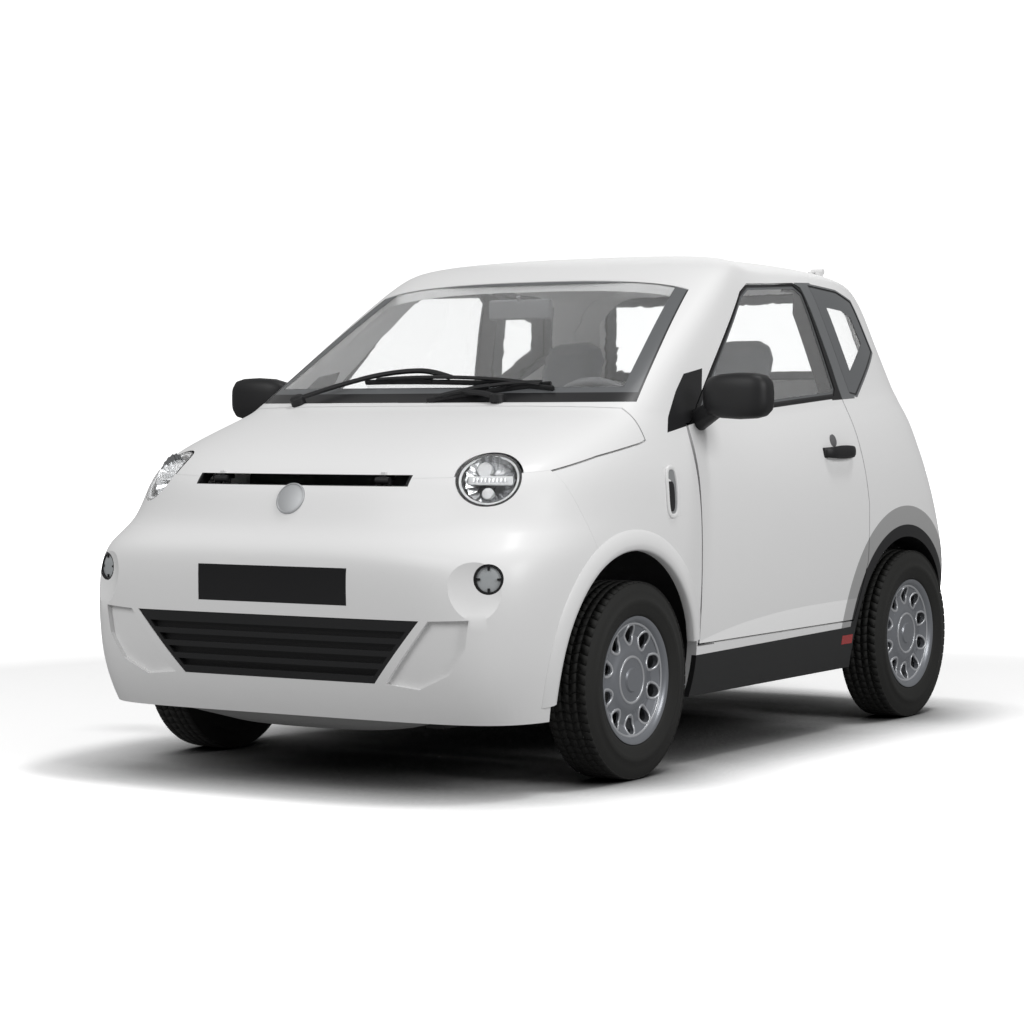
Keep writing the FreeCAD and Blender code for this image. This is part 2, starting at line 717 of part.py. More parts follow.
# Door hinges: a post inside the sill edge carries a leaf and pin at two heights
doorEdgeY = frontAxleY + doorShares[2][0] * wheelbase
hingeY = doorEdgeY + size("doorHingeBehind")
hingeZs = [share * height for share in hingeHeightShares]
hingeX = sidePoint(doorEdgeY, sum(hingeZs) / 2).x - size("doorHingeInset")
doorSweep = math.hypot(size("doorHingeBehind"), size("doorHingeInset"))
innerSweep = math.hypot(size("doorHingeBehind"), doorDepth - size("doorHingeInset"))
pinRadius = size("hingePinRadius")
bossRadius = size("hingeBossRadius")
leafHeight = size("hingeHeight")
postOuter = hingeX - innerSweep - gap * 2
hingePost = box(postOuter - panel * 1.5, postOuter, hingeY - bossRadius, hingeY + bossRadius * 3,
                bodyBottom + floor, hingeZs[1] + leafHeight / 2 + gap)
hingeLeaves = []
hingeSlots = []
for hingeZ in hingeZs:
    low = hingeZ - leafHeight / 2
    leaf = box(postOuter - seat, hingeX, hingeY - bossRadius / 2, hingeY + bossRadius / 2,
               low, low + leafHeight)
    boss = Part.makeCylinder(bossRadius, leafHeight, vector(hingeX, hingeY, low))
    pin = Part.makeCylinder(pinRadius, leafHeight * 2, vector(hingeX, hingeY, low - leafHeight / 2))
    hingeLeaves.append(leaf.fuse([boss, pin]))
    slot = box(plugLow, hingeX + bossRadius + gap / 2, doorEdgeY - panel, hingeY + bossRadius + gap,
               low - gap, low + leafHeight + gap)
    bore = Part.makeCylinder(pinRadius + size("runningGap"), leafHeight * 3,
                             vector(hingeX, hingeY, low - leafHeight))
    hingeSlots.append(slot.fuse(bore))
pocketLow = doorShares[0][1] * height - gap
pocketHigh = doorShares[3][1] * height + gap
hingePocket = Part.makeCylinder(doorSweep + gap / 2, pocketHigh - pocketLow,
                                vector(hingeX, hingeY, pocketLow))
hingesLeft = hingePost.fuse(hingeLeaves)
doorSwing = Part.makeCylinder(innerSweep * 1.5, height, vector(hingeX, hingeY, 0))

# Bonnet and tailgate hinges: each pin runs across the car between two lugs
liftRadius = size("liftBarrelRadius")
liftPin = size("liftPinRadius")
lugWidth = size("liftLugWidth")
bonnetHingeX = bonnetHingeShare * halfWidth
bonnetHingeZ = (slotShares[0][1] + slotShares[2][1]) / 2 * height
bonnetEdge = surfacePoint(vector(bonnetHingeX, -reach, bonnetHingeZ), vector(bonnetHingeX, 0, bonnetHingeZ))
bonnetHingeY = bonnetEdge.y + liftRadius
hatchHingeX = hatchHingeShare * halfWidth
hatchHingeY = tailgateFront - gap / 2
hatchHingeZ = roofPoint(0, hatchHingeY).z + liftRadius
hatchSkinZ = roofPoint(hatchHingeX + 3 * lugWidth, hatchHingeY + 2 * liftRadius).z - panel / 2


def liftHinge(x, y, z, fixedFoot, movingFoot):
    """Two fixed lugs with their pin, and the moving lug between them; a foot is y0, y1, z0, z1."""
    along = 3 * lugWidth + 2 * seat
    middle = x + lugWidth + seat
    fixed = lengthwise(x, x + along, y, z, liftPin)
    for start in (x, x + 2 * (lugWidth + seat)):
        lug = lengthwise(start, start + lugWidth, y, z, liftRadius)
        fixed = fixed.fuse([lug, box(start, start + lugWidth, *fixedFoot)])
    lug = lengthwise(middle, middle + lugWidth, y, z, liftRadius)
    moving = lug.fuse(box(middle, middle + lugWidth, *movingFoot))
    return fixed, moving.cut(lengthwise(x, x + along, y, z, liftPin + size("runningGap")))


bonnetFixed, bonnetMoving = liftHinge(
    bonnetHingeX, bonnetHingeY, bonnetHingeZ,
    (bonnetHingeY, bonnetHingeY + liftRadius, bonnetHingeZ - 3 * liftRadius, bonnetHingeZ),
    (bonnetHingeY, bonnetHingeY + 5 * liftRadius, bonnetHingeZ, bonnetHingeZ + 2.4 * liftRadius))
hatchFixed, hatchMoving = liftHinge(
    hatchHingeX, hatchHingeY, hatchHingeZ,
    (hatchHingeY - 3 * liftRadius, hatchHingeY, hatchSkinZ, hatchHingeZ),
    (hatchHingeY, hatchHingeY + 3 * liftRadius, hatchSkinZ, hatchHingeZ))
bonnetFixed = bothSides(bonnetFixed)
bonnetMoving = bothSides(bonnetMoving)
hatchFixed = bothSides(hatchFixed)
hatchMoving = bothSides(hatchMoving)

# Side scoop behind each front wheel
scoopHole = sidePrism(scoopShares, 0.0, halfWidth * 0.9, reach)
scoopPlug = sidePrism(scoopShares, -seat, halfWidth * 0.9, reach)
print("cutters made", [round(v, 3) for v in (hingeX, hingeY, bonnetHingeY, bonnetHingeZ, hatchHingeY,
                                             hatchHingeZ)])

# Body shell: floor, pillars, roof, fenders and rear quarters in one moulding
body = panelSkin.cut([arches, bonnetHole, bumperHole, rearBumperHole, windscreenHole, engineBay,
                      tunnelHole, bothSides(headHole), bothSides(tailLampHole), tailgateHole])
for cutter in (doorHole, quarterHole, sillHole, hingePocket, scoopHole):
    body = body.cut([cutter, mirrored(cutter)])
body = body.fuse([tunnel, hatchFixed])
feature("body_shell", body)
feature("front_bumper", panelSkin.common(bumperZone).cut(
    [arches, grilleHole, slotHole, platePocket, bothSides(headHole), bothSides(fogHole), bothSides(fogDish),
     bothSides(noseScoop)]).fuse(bonnetFixed))
feature("rear_bumper", panelSkin.common(rearBumperZone).cut([arches]))
feature("bonnet", panelSkin.common(bonnetZone).cut([bothSides(headClear), slotHole]).fuse(bonnetMoving))
doorLeft = doorSkin.common(doorPlug).cut([windowHole, archLeft] + hingeSlots)
feature("door_left", doorLeft)
feature("door_right", mirrored(doorLeft))
tailgate = panelSkin.common(tailgateZone).cut([tailgateWindowHole, bothSides(tailLampHole)])
feature("tailgate", tailgate.fuse(hatchMoving))
feature("hinges_left", hingesLeft)
feature("hinges_right", mirrored(hingesLeft))
print("panels made")

# Glass
feature("windscreen", glassSkin.common(endPrism(windscreenShares, -seat, -halfLength, screenEndY)))
doorGlass = glassSkin.common(sidePrism(doorWindowShares, -seat, plugLow, reach))
feature("door_glass_left", doorGlass)
feature("door_glass_right", mirrored(doorGlass))
quarterGlass = glassSkin.common(sidePrism(quarterWindowShares, -seat, plugLow, reach))
feature("quarter_glass", bothSides(quarterGlass))
feature("tailgate_glass", glassSkin.common(
    endPrism(tailgateWindowShares, -seat, tailgateFront + panel * 2 + seat, reach)))

# Lamps
headSkin = outerForm.cut(headlampForm)
feature("headlamps", bothSides(headSkin.common(headPlug)))
feature("fog_lamps", bothSides(panelSkin.common(fogPlug).cut([fogDish])))
tailSkin = panelSkin.common(tailLampPlug).cut([tailgateZone.fuse(tailgateHole)])
feature("tail_lamps", bothSides(tailSkin))

# Grille, nose slot and plates
grilleSkin = glassOuter.cut(bodyForm(size("glassSetback") + panel, floor)).common(grillePlug)
slats = []
slatCount = 4
grilleLow = grilleShares[0][1] * height
grilleHigh = grilleShares[2][1] * height
slatPitch = (grilleHigh - grilleLow) / (slatCount + 1)
for index in range(slatCount):
    z = grilleLow + slatPitch * (index + 0.6)
    slats.append(box(-halfWidth, halfWidth, -reach, frontAxleY, z, z + slatPitch * 0.55))
grilleBack = bodyForm(size("glassSetback") + panel / 2, floor)
slotted = Part.makeCompound(slats)
rim = endPrism(grilleShares, -wall, -reach, frontAxleY)
grille = grilleSkin.cut(slotted.common(rim).cut(grilleBack))
feature("grille", grille)
node(block("plate_block", "sizes.plateLength", "sizes.plateThickness", "sizes.plateHeight", "-sizes.plateLength / 2",
           "-sizes.bodyLength / 2", "sizes.bodyHeight * %s - sizes.plateHeight / 2" % plateShareZ),
     "number_plate_front")

# Sills, each with a marker lamp let into its rear end
markerPlug = sidePrism(markerShares, -seat, sillInner, reach).cut(bodyForm(panel / 4, floor / 2))
markerHole = sidePrism(markerShares, 0.0, sillInner, reach).cut(bodyForm(panel / 4 + seat, floor / 2))
feature("sills", bothSides(sillSkin.common(sillZone).cut([markerHole, archLeft])))
feature("side_markers", bothSides(outerForm.common(markerPlug).cut([archLeft])))
print("skin parts made")

# Wheel housings
liners = []
for y, z, radius in ((frontArchY, frontArchZ, frontArchRadius), (rearArchY, rearArchZ, rearArchRadius)):
    ring = lengthwise(archInner, halfWidth, y, z, radius + size("linerThickness"))
    ring = ring.cut(lengthwise(archInner - wall, reach, y, z, radius))
    ring = ring.cut(box(0, reach, -reach, reach, 0, bodyBottom + floor))
    inner = bodyForm(panel + seat, floor)
    liners.append(ring.common(inner))
liners = [piece.cut([doorHole, hingesLeft, hingePocket]) for piece in liners]
feature("arch_liners", bothSides(liners[0].fuse(liners[1])))

frontAxle = "(sizes.frontOverhang - sizes.bodyLength / 2)"
rearAxle = "(%s + sizes.wheelbase)" % frontAxle
underside = "(sizes.bodyHeight * %s)" % ringShares[0][1]

# Chassis: two rails joined by cross members
railTop = underside
frame = []
for side, sign in (("left", 1), ("right", -1)):
    frame.append(block("rail_" + side, "sizes.railWidth", "sizes.bodyLength * %s" % railLengthShare,
                       "sizes.railHeight", "%d * sizes.railSpacing / 2 - sizes.railWidth / 2" % sign,
                       "-sizes.bodyLength * %s / 2" % railLengthShare, railTop + " - sizes.railHeight"))
for number, share in enumerate(crossMemberShares):
    frame.append(block("cross_member_%d" % number, "sizes.railSpacing", "sizes.railWidth",
                       "sizes.railHeight", "-sizes.railSpacing / 2", "sizes.bodyLength * %s" % share,
                       railTop + " - sizes.railHeight"))
node(fused("ladder_frame", frame), "chassis_rails")
node(block("power_block", "sizes.railSpacing", "sizes.powerUnitLength", "sizes.powerUnitHeight",
           "-sizes.railSpacing / 2", "%s - sizes.powerUnitForward" % frontAxle,
           underside + " + sizes.floorThickness"), "power_unit")

# Front suspension: a wishbone and the strut's upper rod on each side
kingpinPlace = "(sizes.track / 2 - sizes.kingpinOffset)"
armRootPlace = "(sizes.railSpacing / 2 + sizes.railWidth / 2)"
uprightBase = "(sizes.armHeight + sizes.armThickness + sizes.shutGap)"
uprightTop = "(%s + sizes.uprightHeight)" % uprightBase
archTop = ("(sizes.tyreRadius + sizes.frontArchRise + sqrt(sizes.frontArchRadius ^ 2"
           " - (sizes.strutRadius + sizes.frontArchForward) ^ 2))")
rodStart = "(%s + sizes.strutRadius)" % uprightTop
wishbone = doc.addObject("PartDesign::Body", "wishbone")
outline = profile(wishbone, "wishbone_outline", "XY_Plane", [
    (armRootPlace, "-sizes.armSpread / 2"), (kingpinPlace, "-sizes.strutRadius"),
    (kingpinPlace, "sizes.strutRadius"), (armRootPlace, "sizes.armSpread / 2")])
step(wishbone, "Pad", "wishbone_plate", Profile=outline, Length="=sizes.armThickness")
window = profile(wishbone, "wishbone_window", "XY_Plane", [
    (armRootPlace + " + sizes.armThickness", "-sizes.armSpread / 4"),
    (kingpinPlace + " - sizes.strutRadius * 2.4", "-sizes.strutRadius / 4"),
    (kingpinPlace + " - sizes.strutRadius * 2.4", "sizes.strutRadius / 4"),
    (armRootPlace + " + sizes.armThickness", "sizes.armSpread / 4")])
step(wishbone, "Pocket", "wishbone_opening", Profile=window, Type="ThroughAll", SideType="Symmetric")
eye = roundProfile(wishbone, "wishbone_eye", "XY_Plane", "sizes.strutRadius + sizes.shutGap", kingpinPlace, "0")
step(wishbone, "Pad", "wishbone_boss", Profile=eye, Length="=sizes.armThickness")
bore = roundProfile(wishbone, "wishbone_bore", "XY_Plane", "sizes.kingpinRadius + sizes.runningGap",
                    kingpinPlace, "0")
step(wishbone, "Pocket", "wishbone_hole", Profile=bore, Type="ThroughAll", SideType="Symmetric")
placed(wishbone, "0", frontAxle, "sizes.armHeight")
strutRod = upright("strut_rod", "sizes.strutRodRadius", "%s - %s" % (archTop, rodStart),
                   kingpinPlace, frontAxle, rodStart)
strutCap = upright("strut_cap", "sizes.strutRadius", "sizes.strutRadius", kingpinPlace, frontAxle,
                   archTop + " - sizes.strutRadius - sizes.seatGap")
strut = fused("strut", [strutRod, strutCap])
node(grouped("front_suspension_parts", [wishbone, strut, mirror("wishbone_right", wishbone),
                                        mirror("strut_right", strut)]), "front_suspension")

# Knuckles: upright, stub axle, king pin and strut tube
carrierEnd = "(sizes.track / 2 - sizes.rimWidth * 0.3)"
stubEnd = "(sizes.track / 2 + sizes.rimWidth / 2 - sizes.wheelDish)"
knuckleParts = [
    block("upright_block", "sizes.uprightWidth * 0.75", "sizes.uprightWidth", "sizes.uprightHeight",
          kingpinPlace + " - sizes.uprightWidth / 2", frontAxle + " - sizes.uprightWidth / 2", uprightBase),
    crosswise("bearing_carrier", "sizes.uprightWidth / 2", "%s - %s" % (carrierEnd, kingpinPlace),
              kingpinPlace, frontAxle, "sizes.tyreRadius"),
    crosswise("stub_axle", "sizes.stubRadius", "%s - %s" % (stubEnd, kingpinPlace),
              kingpinPlace, frontAxle, "sizes.tyreRadius"),
    upright("strut_tube", "sizes.strutRadius", "sizes.strutTubeLength", kingpinPlace, frontAxle,
            uprightTop + " - sizes.shutGap"),
    upright("king_pin", "sizes.kingpinRadius", uprightBase + " - sizes.armHeight + sizes.shutGap * 2",
            kingpinPlace, frontAxle, "sizes.armHeight - sizes.shutGap"),
]
rodBore = upright("rod_bore", "sizes.strutRodRadius + sizes.runningGap", "sizes.strutTubeLength * 2",
                  kingpinPlace, frontAxle, uprightTop + " + sizes.shutGap")
knuckle = node(cut("knuckle", fused("knuckle_parts", knuckleParts), rodBore), "knuckle_left")
node(mirror("knuckle_other", knuckle), "knuckle_right")

# Rear axle: beam, stubs, trailing links with their brackets, and springs
tunnelRoof = "(sizes.tyreRadius + sizes.axleTubeRadius * 3)"
linkPlace = "(sizes.bodyWidth / 2 - sizes.archDepth - sizes.trailingArmWidth)"
linkLow = "(%s - sizes.seatGap - sizes.trailingArmWidth)" % underside
axleParts = [
    crosswise("axle_beam", "sizes.axleTubeRadius", "2 * " + carrierEnd, "-" + carrierEnd, rearAxle,
              "sizes.tyreRadius"),
    crosswise("axle_stubs", "sizes.stubRadius", "2 * " + stubEnd, "-" + stubEnd, rearAxle,
              "sizes.tyreRadius"),
]
for side, sign in (("left", 1), ("right", -1)):
    start = "%d * %s - sizes.trailingArmWidth / 2" % (sign, linkPlace)
    reachIn = "(%s - %s - sizes.seatGap)" % (linkPlace, armRootPlace)
    axleParts.append(block("link_" + side, "sizes.trailingArmWidth",
                           "sizes.trailingArmLength + sizes.trailingArmWidth / 2", "sizes.trailingArmWidth",
                           start, rearAxle + " - sizes.trailingArmLength", linkLow))
    axleParts.append(block("riser_" + side, "sizes.trailingArmWidth", "sizes.trailingArmWidth",
                           "sizes.tyreRadius - " + linkLow, start,
                           rearAxle + " - sizes.trailingArmWidth / 2", linkLow))
    bracketStart = armRootPlace + " + sizes.seatGap" if sign > 0 else "-" + linkPlace
    axleParts.append(block("bracket_" + side, reachIn, "sizes.trailingArmWidth", "sizes.trailingArmWidth",
                           bracketStart, rearAxle + " - sizes.trailingArmLength", linkLow))
    axleParts.append(upright("spring_" + side, "sizes.rearSpringRadius",
                             tunnelRoof + " - sizes.tyreRadius - sizes.seatGap",
                             "%d * %s / 2" % (sign, linkPlace), rearAxle, "sizes.tyreRadius"))
node(fused("axle_parts", axleParts), "rear_axle")

# Wheels: rim, hub and a pressed cover with a ring of oval openings
halfRim = "sizes.rimWidth / 2"
lipRadius = "sizes.rimRadius"
barrel = "(sizes.rimRadius - 2 * sizes.rimWall)"
faceX = "(sizes.rimWidth / 2 - sizes.wheelDish)"
crownX = "(%s + sizes.coverCrown)" % faceX
innerOval = "(sizes.openingRadius - sizes.openingLength / 2)"
wheelPoints = [
    ("-" + halfRim, lipRadius),
    ("-" + halfRim, barrel),
    (faceX + " - sizes.coverThickness", barrel),
    (faceX + " - sizes.coverThickness", "sizes.wheelHubRadius"),
    ("-sizes.rimWidth / 4", "sizes.wheelHubRadius"),
    ("-sizes.rimWidth / 4", "sizes.stubRadius + sizes.runningGap"),
    (faceX + " + sizes.stubRoom", "sizes.stubRadius + sizes.runningGap"),
    (faceX + " + sizes.stubRoom", "0"),
    (crownX + " + sizes.coverThickness", "0"),
    (crownX + " + sizes.coverThickness", "sizes.capRadius"),
    (crownX, "sizes.capRadius + sizes.coverThickness"),
    (crownX + " - sizes.coverThickness / 4", innerOval + " - sizes.openingWidth / 2"),
    (faceX + " + sizes.coverCrown / 3", innerOval),
    (faceX, "sizes.openingRadius"),
    (faceX + " + sizes.wheelDish / 2", barrel + " - sizes.coverThickness"),
    (halfRim + " - sizes.rimWall / 2", barrel + " + sizes.rimWall / 2"),
    (halfRim, lipRadius + " - sizes.rimWall / 2"),
    (halfRim, lipRadius),
    (halfRim + " - sizes.rimWall / 2", lipRadius),
    (halfRim + " - sizes.rimWall / 2", lipRadius + " - sizes.rimWall"),
    ("-%s + sizes.rimWall / 2" % halfRim, lipRadius + " - sizes.rimWall"),
    ("-%s + sizes.rimWall / 2" % halfRim, lipRadius),
]
tyrePoints = [("%s * sizes.tyreWidth / 2" % x, "sizes.tyreRadius * %s" % r) for x, r in tyreShares]
beadX = "(%s - sizes.rimWall)" % halfRim
beadRadius = "(sizes.rimRadius - sizes.rimWall + sizes.seatGap)"
tyreBead = [(beadX, beadRadius), ("-" + beadX, beadRadius)]


def ovalProfile(body, name):
    """Oval slot at the top of the wheel: two arcs of their own radius joined by tangent lines."""
    plane = next(item for item in body.Origin.OriginFeatures if item.Role == "YZ_Plane")
    sketch = body.newObject("Sketcher::SketchObject", name)
    sketch.AttachmentSupport = [(plane, "")]
    sketch.MapMode = "FlatFace"
    high = vector(0, size("openingRadius"), 0)
    low = vector(0, size("openingRadius") - size("openingLength"), 0)
    radius = size("openingWidth") / 2
    side = vector(radius, 0, 0)
    up = vector(0, 0, 1)
    sketch.addGeometry([
        Part.ArcOfCircle(Part.Circle(high, up, radius), 0, math.pi),
        Part.ArcOfCircle(Part.Circle(low, up, radius), math.pi, 2 * math.pi),
        Part.LineSegment(high - side, low - side),
        Part.LineSegment(low + side, high + side),
    ], False)
    for first, second in ((0, 2), (2, 1), (1, 3), (3, 0)):
        sketch.addConstraint(Sketcher.Constraint("Tangent", first, 2, second, 1))
    half = "sizes.openingLength / 2 - sizes.openingWidth / 2"
    for kind, where, rule in (
            ("Radius", (0,), "sizes.openingWidth / 2"),
            ("Radius", (1,), "sizes.openingWidth * %s / 2" % openingTaperShare),
            ("DistanceX", (-1, 1, 0, 3), "0"), ("DistanceX", (-1, 1, 1, 3), "0"),
            ("DistanceY", (-1, 1, 0, 3), "sizes.openingRadius + " + half),
            ("DistanceY", (-1, 1, 1, 3), "sizes.openingRadius - (%s)" % half)):
        at = sketch.addConstraint(Sketcher.Constraint(kind, *where, radius))
        sketch.setExpression("Constraints[%d]" % at, rule)
    return sketch


def wheelAndTyre(end, side):
    """Wheel and tyre about the body's own X axis, the cover on the outer side."""
    name = "%s_%s" % (end, side)
    place = ("%d * sizes.track / 2" % (1 if side == "left" else -1),
             frontAxle if end == "front" else rearAxle, "sizes.tyreRadius")
    wheel = doc.addObject("PartDesign::Body", "rim_" + name)
    outline = profile(wheel, "rim_profile_" + name, "XZ_Plane", wheelPoints)
    step(wheel, "Revolution", "rim_turn_" + name, Profile=outline, ReferenceAxis=(outline, ["H_Axis"]),
         Angle=360)
    oval = ovalProfile(wheel, "opening_profile_" + name)
    opening = step(wheel, "Pocket", "opening_" + name, Profile=oval, Type="ThroughAll", Reversed=True)
    ring = wheel.newObject("PartDesign::PolarPattern", "openings_" + name)
    ring.Originals = [opening]
    ring.Axis = (outline, ["H_Axis"])
    ring.Angle = 360
    ring.setExpression("Occurrences", "sizes.openingCount")
    wheel.Tip = ring
    tyre = doc.addObject("PartDesign::Body", "tyre_body_" + name)
    section = profile(tyre, "tyre_profile_" + name, "XZ_Plane", tyreBead + tyrePoints)
    step(tyre, "Revolution", "tyre_turn_" + name, Profile=section, ReferenceAxis=(section, ["H_Axis"]),
         Angle=360)
    for item in (wheel, tyre):
        if side == "right":
            turned(item, (0, 0, 1), 180)
        placed(item, *place)
    node(wheel, "wheel_" + name)
    node(tyre, "tyre_" + name)


for end in ("front", "rear"):
    for side in ("left", "right"):
        wheelAndTyre(end, side)
print("running gear made")

# Cabin
bulkheadY = frontAxleY + frontArchRadius * 0.52
cabin = bodyForm(panel + seat, floor + seat)
bulkhead = cabin.common(box(-reach, reach, bulkheadY - wall, bulkheadY, 0, bulkheadShareZ * height))
feature("bulkhead", bulkhead.cut([arches, bothSides(liners[0])]))
trimmed = bodyForm(doorDepth + gap, floor)
dashboard = trimmed.common(sidePrism(dashboardShares, 0.0, -reach, reach))
dashboard = dashboard.common(box(-reach, reach, bulkheadY + seat, reach, 0, height))
dashboard = dashboard.cut([bothSides(doorSwing), bothSides(hingesLeft)])
seatX = size("seatSpacing") / 2
columnStart = (frontAxle + " + sizes.wheelbase * %s" % columnShare[0], "sizes.bodyHeight * %s" % columnShare[1])


def raked(item, along):
    """Turns an object from the vertical onto the steering column's line, at a distance along it."""
    turned(item, (1, 0, 0), 0)
    bound(item, {"Placement.Rotation.Angle": "sizes.columnRake - 90",
                 "Placement.Base.x": "sizes.seatSpacing / 2",
                 "Placement.Base.y": "%s + (%s) * cos(sizes.columnRake)" % (columnStart[0], along),
                 "Placement.Base.z": "%s + (%s) * sin(sizes.columnRake)" % (columnStart[1], along)})
    doc.recompute()
    return item


column = doc.addObject("Part::Cylinder", "column_rod")
bound(column, {"Radius": "sizes.columnRadius", "Height": "sizes.columnLength"})
node(raked(column, "0"), "steering_column")
feature("dashboard", dashboard.cut([column.Shape]))

# Steering wheel: rim, hub and three spokes about the column
rimRing = bound(doc.addObject("Part::Torus", "steering_rim"),
                {"Radius1": "sizes.steeringWheelRadius", "Radius2": "sizes.steeringRimRadius"})
wheelParts = [rimRing, upright("steering_hub", "sizes.columnRadius * 3", "sizes.columnRadius * 2", "0", "0",
                               "-sizes.columnRadius")]
for number in range(3):
    turn = math.radians(180 + 120 * number)
    spoke = block("spoke_%d" % number, "sizes.columnRadius * 2", "sizes.steeringWheelRadius - sizes.columnRadius * 2",
                  "sizes.steeringRimRadius", "0", "0", "-sizes.steeringRimRadius / 2")
    turned(spoke, (0, 0, 1), math.degrees(turn))
    placed(spoke, "-sizes.columnRadius * (%.5f)" % (math.cos(turn) + 2 * math.sin(turn)),
           "sizes.columnRadius * (%.5f)" % (2 * math.cos(turn) - math.sin(turn)), "-sizes.steeringRimRadius / 2")
    wheelParts.append(spoke)
columnBore = upright("column_bore", "sizes.columnRadius + sizes.runningGap", "sizes.columnLength", "0", "0",
                     "-sizes.columnLength / 2")
steeringWheel = cut("steering_wheel_parts", fused("steering_wheel_whole", wheelParts), columnBore)
node(raked(steeringWheel, "sizes.columnLength - sizes.columnRadius"), "steering_wheel")

# Seats: one side outline padded to the seat's width, narrowed beside the headrest, edges rounded
seatBase = "(sizes.bodyHeight * %s + sizes.floorThickness)" % ringShares[0][1]
cushionFloor = "(sizes.seatCushionTop + sizes.seatCushionThickness * %s)" % cushionShares[0][1]
seatStart = "(%s + sizes.wheelbase * %s)" % (frontAxle, seatShare)
seatOutline = [("sizes.seatDepth * %s" % run, "sizes.seatCushionThickness * (%s)" % rise)
               for run, rise in cushionShares]
for rise, thick in backFrontShares + backRearShares:
    seatOutline.append(("sizes.seatDepth * 0.98 + sizes.backrestHeight * %s * tan(sizes.backrestRake)"
                        " + sizes.backrestThickness * %s" % (rise, thick), "sizes.backrestHeight * %s" % rise))
shoulder = [("sizes.headrestWidth / 2", "sizes.backrestHeight * %s" % (headrestShare + 0.04)),
            ("sizes.seatWidth", "sizes.backrestHeight * %s" % headrestShare),
            ("sizes.seatWidth", "sizes.backrestHeight"), ("sizes.headrestWidth / 2", "sizes.backrestHeight")]
for side, sign in (("left", 1), ("right", -1)):
    seatBody = doc.addObject("PartDesign::Body", "seat_body_" + side)
    outline = profile(seatBody, "seat_outline_" + side, "YZ_Plane", seatOutline)
    step(seatBody, "Pad", "seat_form_" + side, Profile=outline, SideType="Symmetric", Length="=sizes.seatWidth")
    corner = profile(seatBody, "shoulder_outline_" + side, "XZ_Plane", shoulder)
    shoulderCut = step(seatBody, "Pocket", "shoulder_" + side, Profile=corner, Type="ThroughAll",
                       SideType="Symmetric")
    both = seatBody.newObject("PartDesign::Mirrored", "shoulders_" + side)
    both.Originals = [shoulderCut]
    middle = next(item for item in seatBody.Origin.OriginFeatures if item.Role == "YZ_Plane")
    both.MirrorPlane = (middle, [""])
    seatBody.Tip = both
    doc.recompute()
    edges = ["Edge%d" % (number + 1) for number in range(len(both.Shape.Edges))]
    step(seatBody, "Fillet", "seat_rounding_" + side, Base=(both, edges), Radius="=sizes.seatRounding")
    placed(seatBody, "%d * sizes.seatSpacing / 2" % sign, seatStart, "sizes.seatCushionTop")
    node(seatBody, "seat_" + side)
    node(block("seat_box_" + side, "sizes.seatWidth * 0.8", "sizes.seatDepth * 0.87",
               "%s - %s - sizes.seatGap" % (cushionFloor, seatBase),
               "%d * sizes.seatSpacing / 2 - sizes.seatWidth * 0.4" % sign, seatStart + " + sizes.seatDepth * 0.06",
               seatBase), "seat_base_" + side)

# Mirrors, handles and wipers
mirrorY = hingeY + size("mirrorDepth") * 0.10
mirrorZ = mirrorShareZ * height
mirrorX = mirrorInnerShare * halfWidth
housing = box(mirrorX, mirrorX + size("mirrorLength"), mirrorY - size("mirrorDepth") / 2,
              mirrorY + size("mirrorDepth") / 2, mirrorZ - size("mirrorHeight") / 2,
              mirrorZ + size("mirrorHeight") / 2)
housing = housing.makeFillet(size("mirrorRounding"), housing.Edges)
foot = rod(vector(halfWidth * 0.9, mirrorY + size("mirrorDepth"), mirrorZ - size("mirrorHeight") * 0.6),
           vector(mirrorX + size("mirrorDepth") / 2, mirrorY, mirrorZ - size("mirrorHeight") * 0.2), size("mirrorHeight") * 0.16)
mirror = housing.fuse(foot).cut(outerForm)
feature("mirror_left", mirror)
feature("mirror_right", mirrored(mirror))
handleY = frontAxleY + handleShare[0] * wheelbase
handleZ = handleShare[1] * height
handleX = doorSideShare * halfWidth
handleHalf = size("handleHeight") / 2
grip = box(handleX - handleHalf, handleX + handleHalf, handleY, handleY + size("handleLength"),
           handleZ - handleHalf, handleZ + handleHalf)
grip = grip.makeFillet(handleHalf * 0.5, grip.Edges).cut(outerForm)
feature("handle_left", grip)
feature("handle_right", mirrored(grip))

feature("side_scoops", bothSides(panelSkin.common(scoopPlug)))

# Wipers: arms and blades held just off the windscreen
screenLow = surfacePoint(vector(0, -reach, windscreenShares[0][1] * height),
                         vector(0, 0, windscreenShares[0][1] * height))
screenHigh = surfacePoint(vector(0, -reach, roomMirrorShareZ * height), vector(0, 0, roomMirrorShareZ * height))
screenRise = screenHigh - screenLow
screenNormal = vector(0, -screenRise.z, screenRise.y).normalize()


def screenPoint(x, z, lift):
    foot = surfacePoint(vector(x * halfWidth, -reach, z * height), vector(x * halfWidth, 0, z * height))
    return foot + screenNormal * lift


wiperWidth = size("wiperWidth")
bladeRise = size("bladeRise")
armRise = size("armRise")
screenSeat = bodyForm(-seat)
glassStep = size("glassSetback")
postSeat = bodyForm(glassStep - seat)
bladeShell = bodyForm(-seat - bladeRise).cut(screenSeat)
armShell = bodyForm(-seat - bladeRise - armRise).cut(bodyForm(-seat - bladeRise * 0.6))


def strip(path, half):
    """Front-view strip along a path of shares, swept back through the windscreen."""
    high = [vector(x * halfWidth, -halfLength, z * height + half) for x, z in path]
    low = [vector(x * halfWidth, -halfLength, z * height - half) for x, z in reversed(path)]
    return polygon(high + low).extrude(vector(0, halfLength + screenEndY, 0))


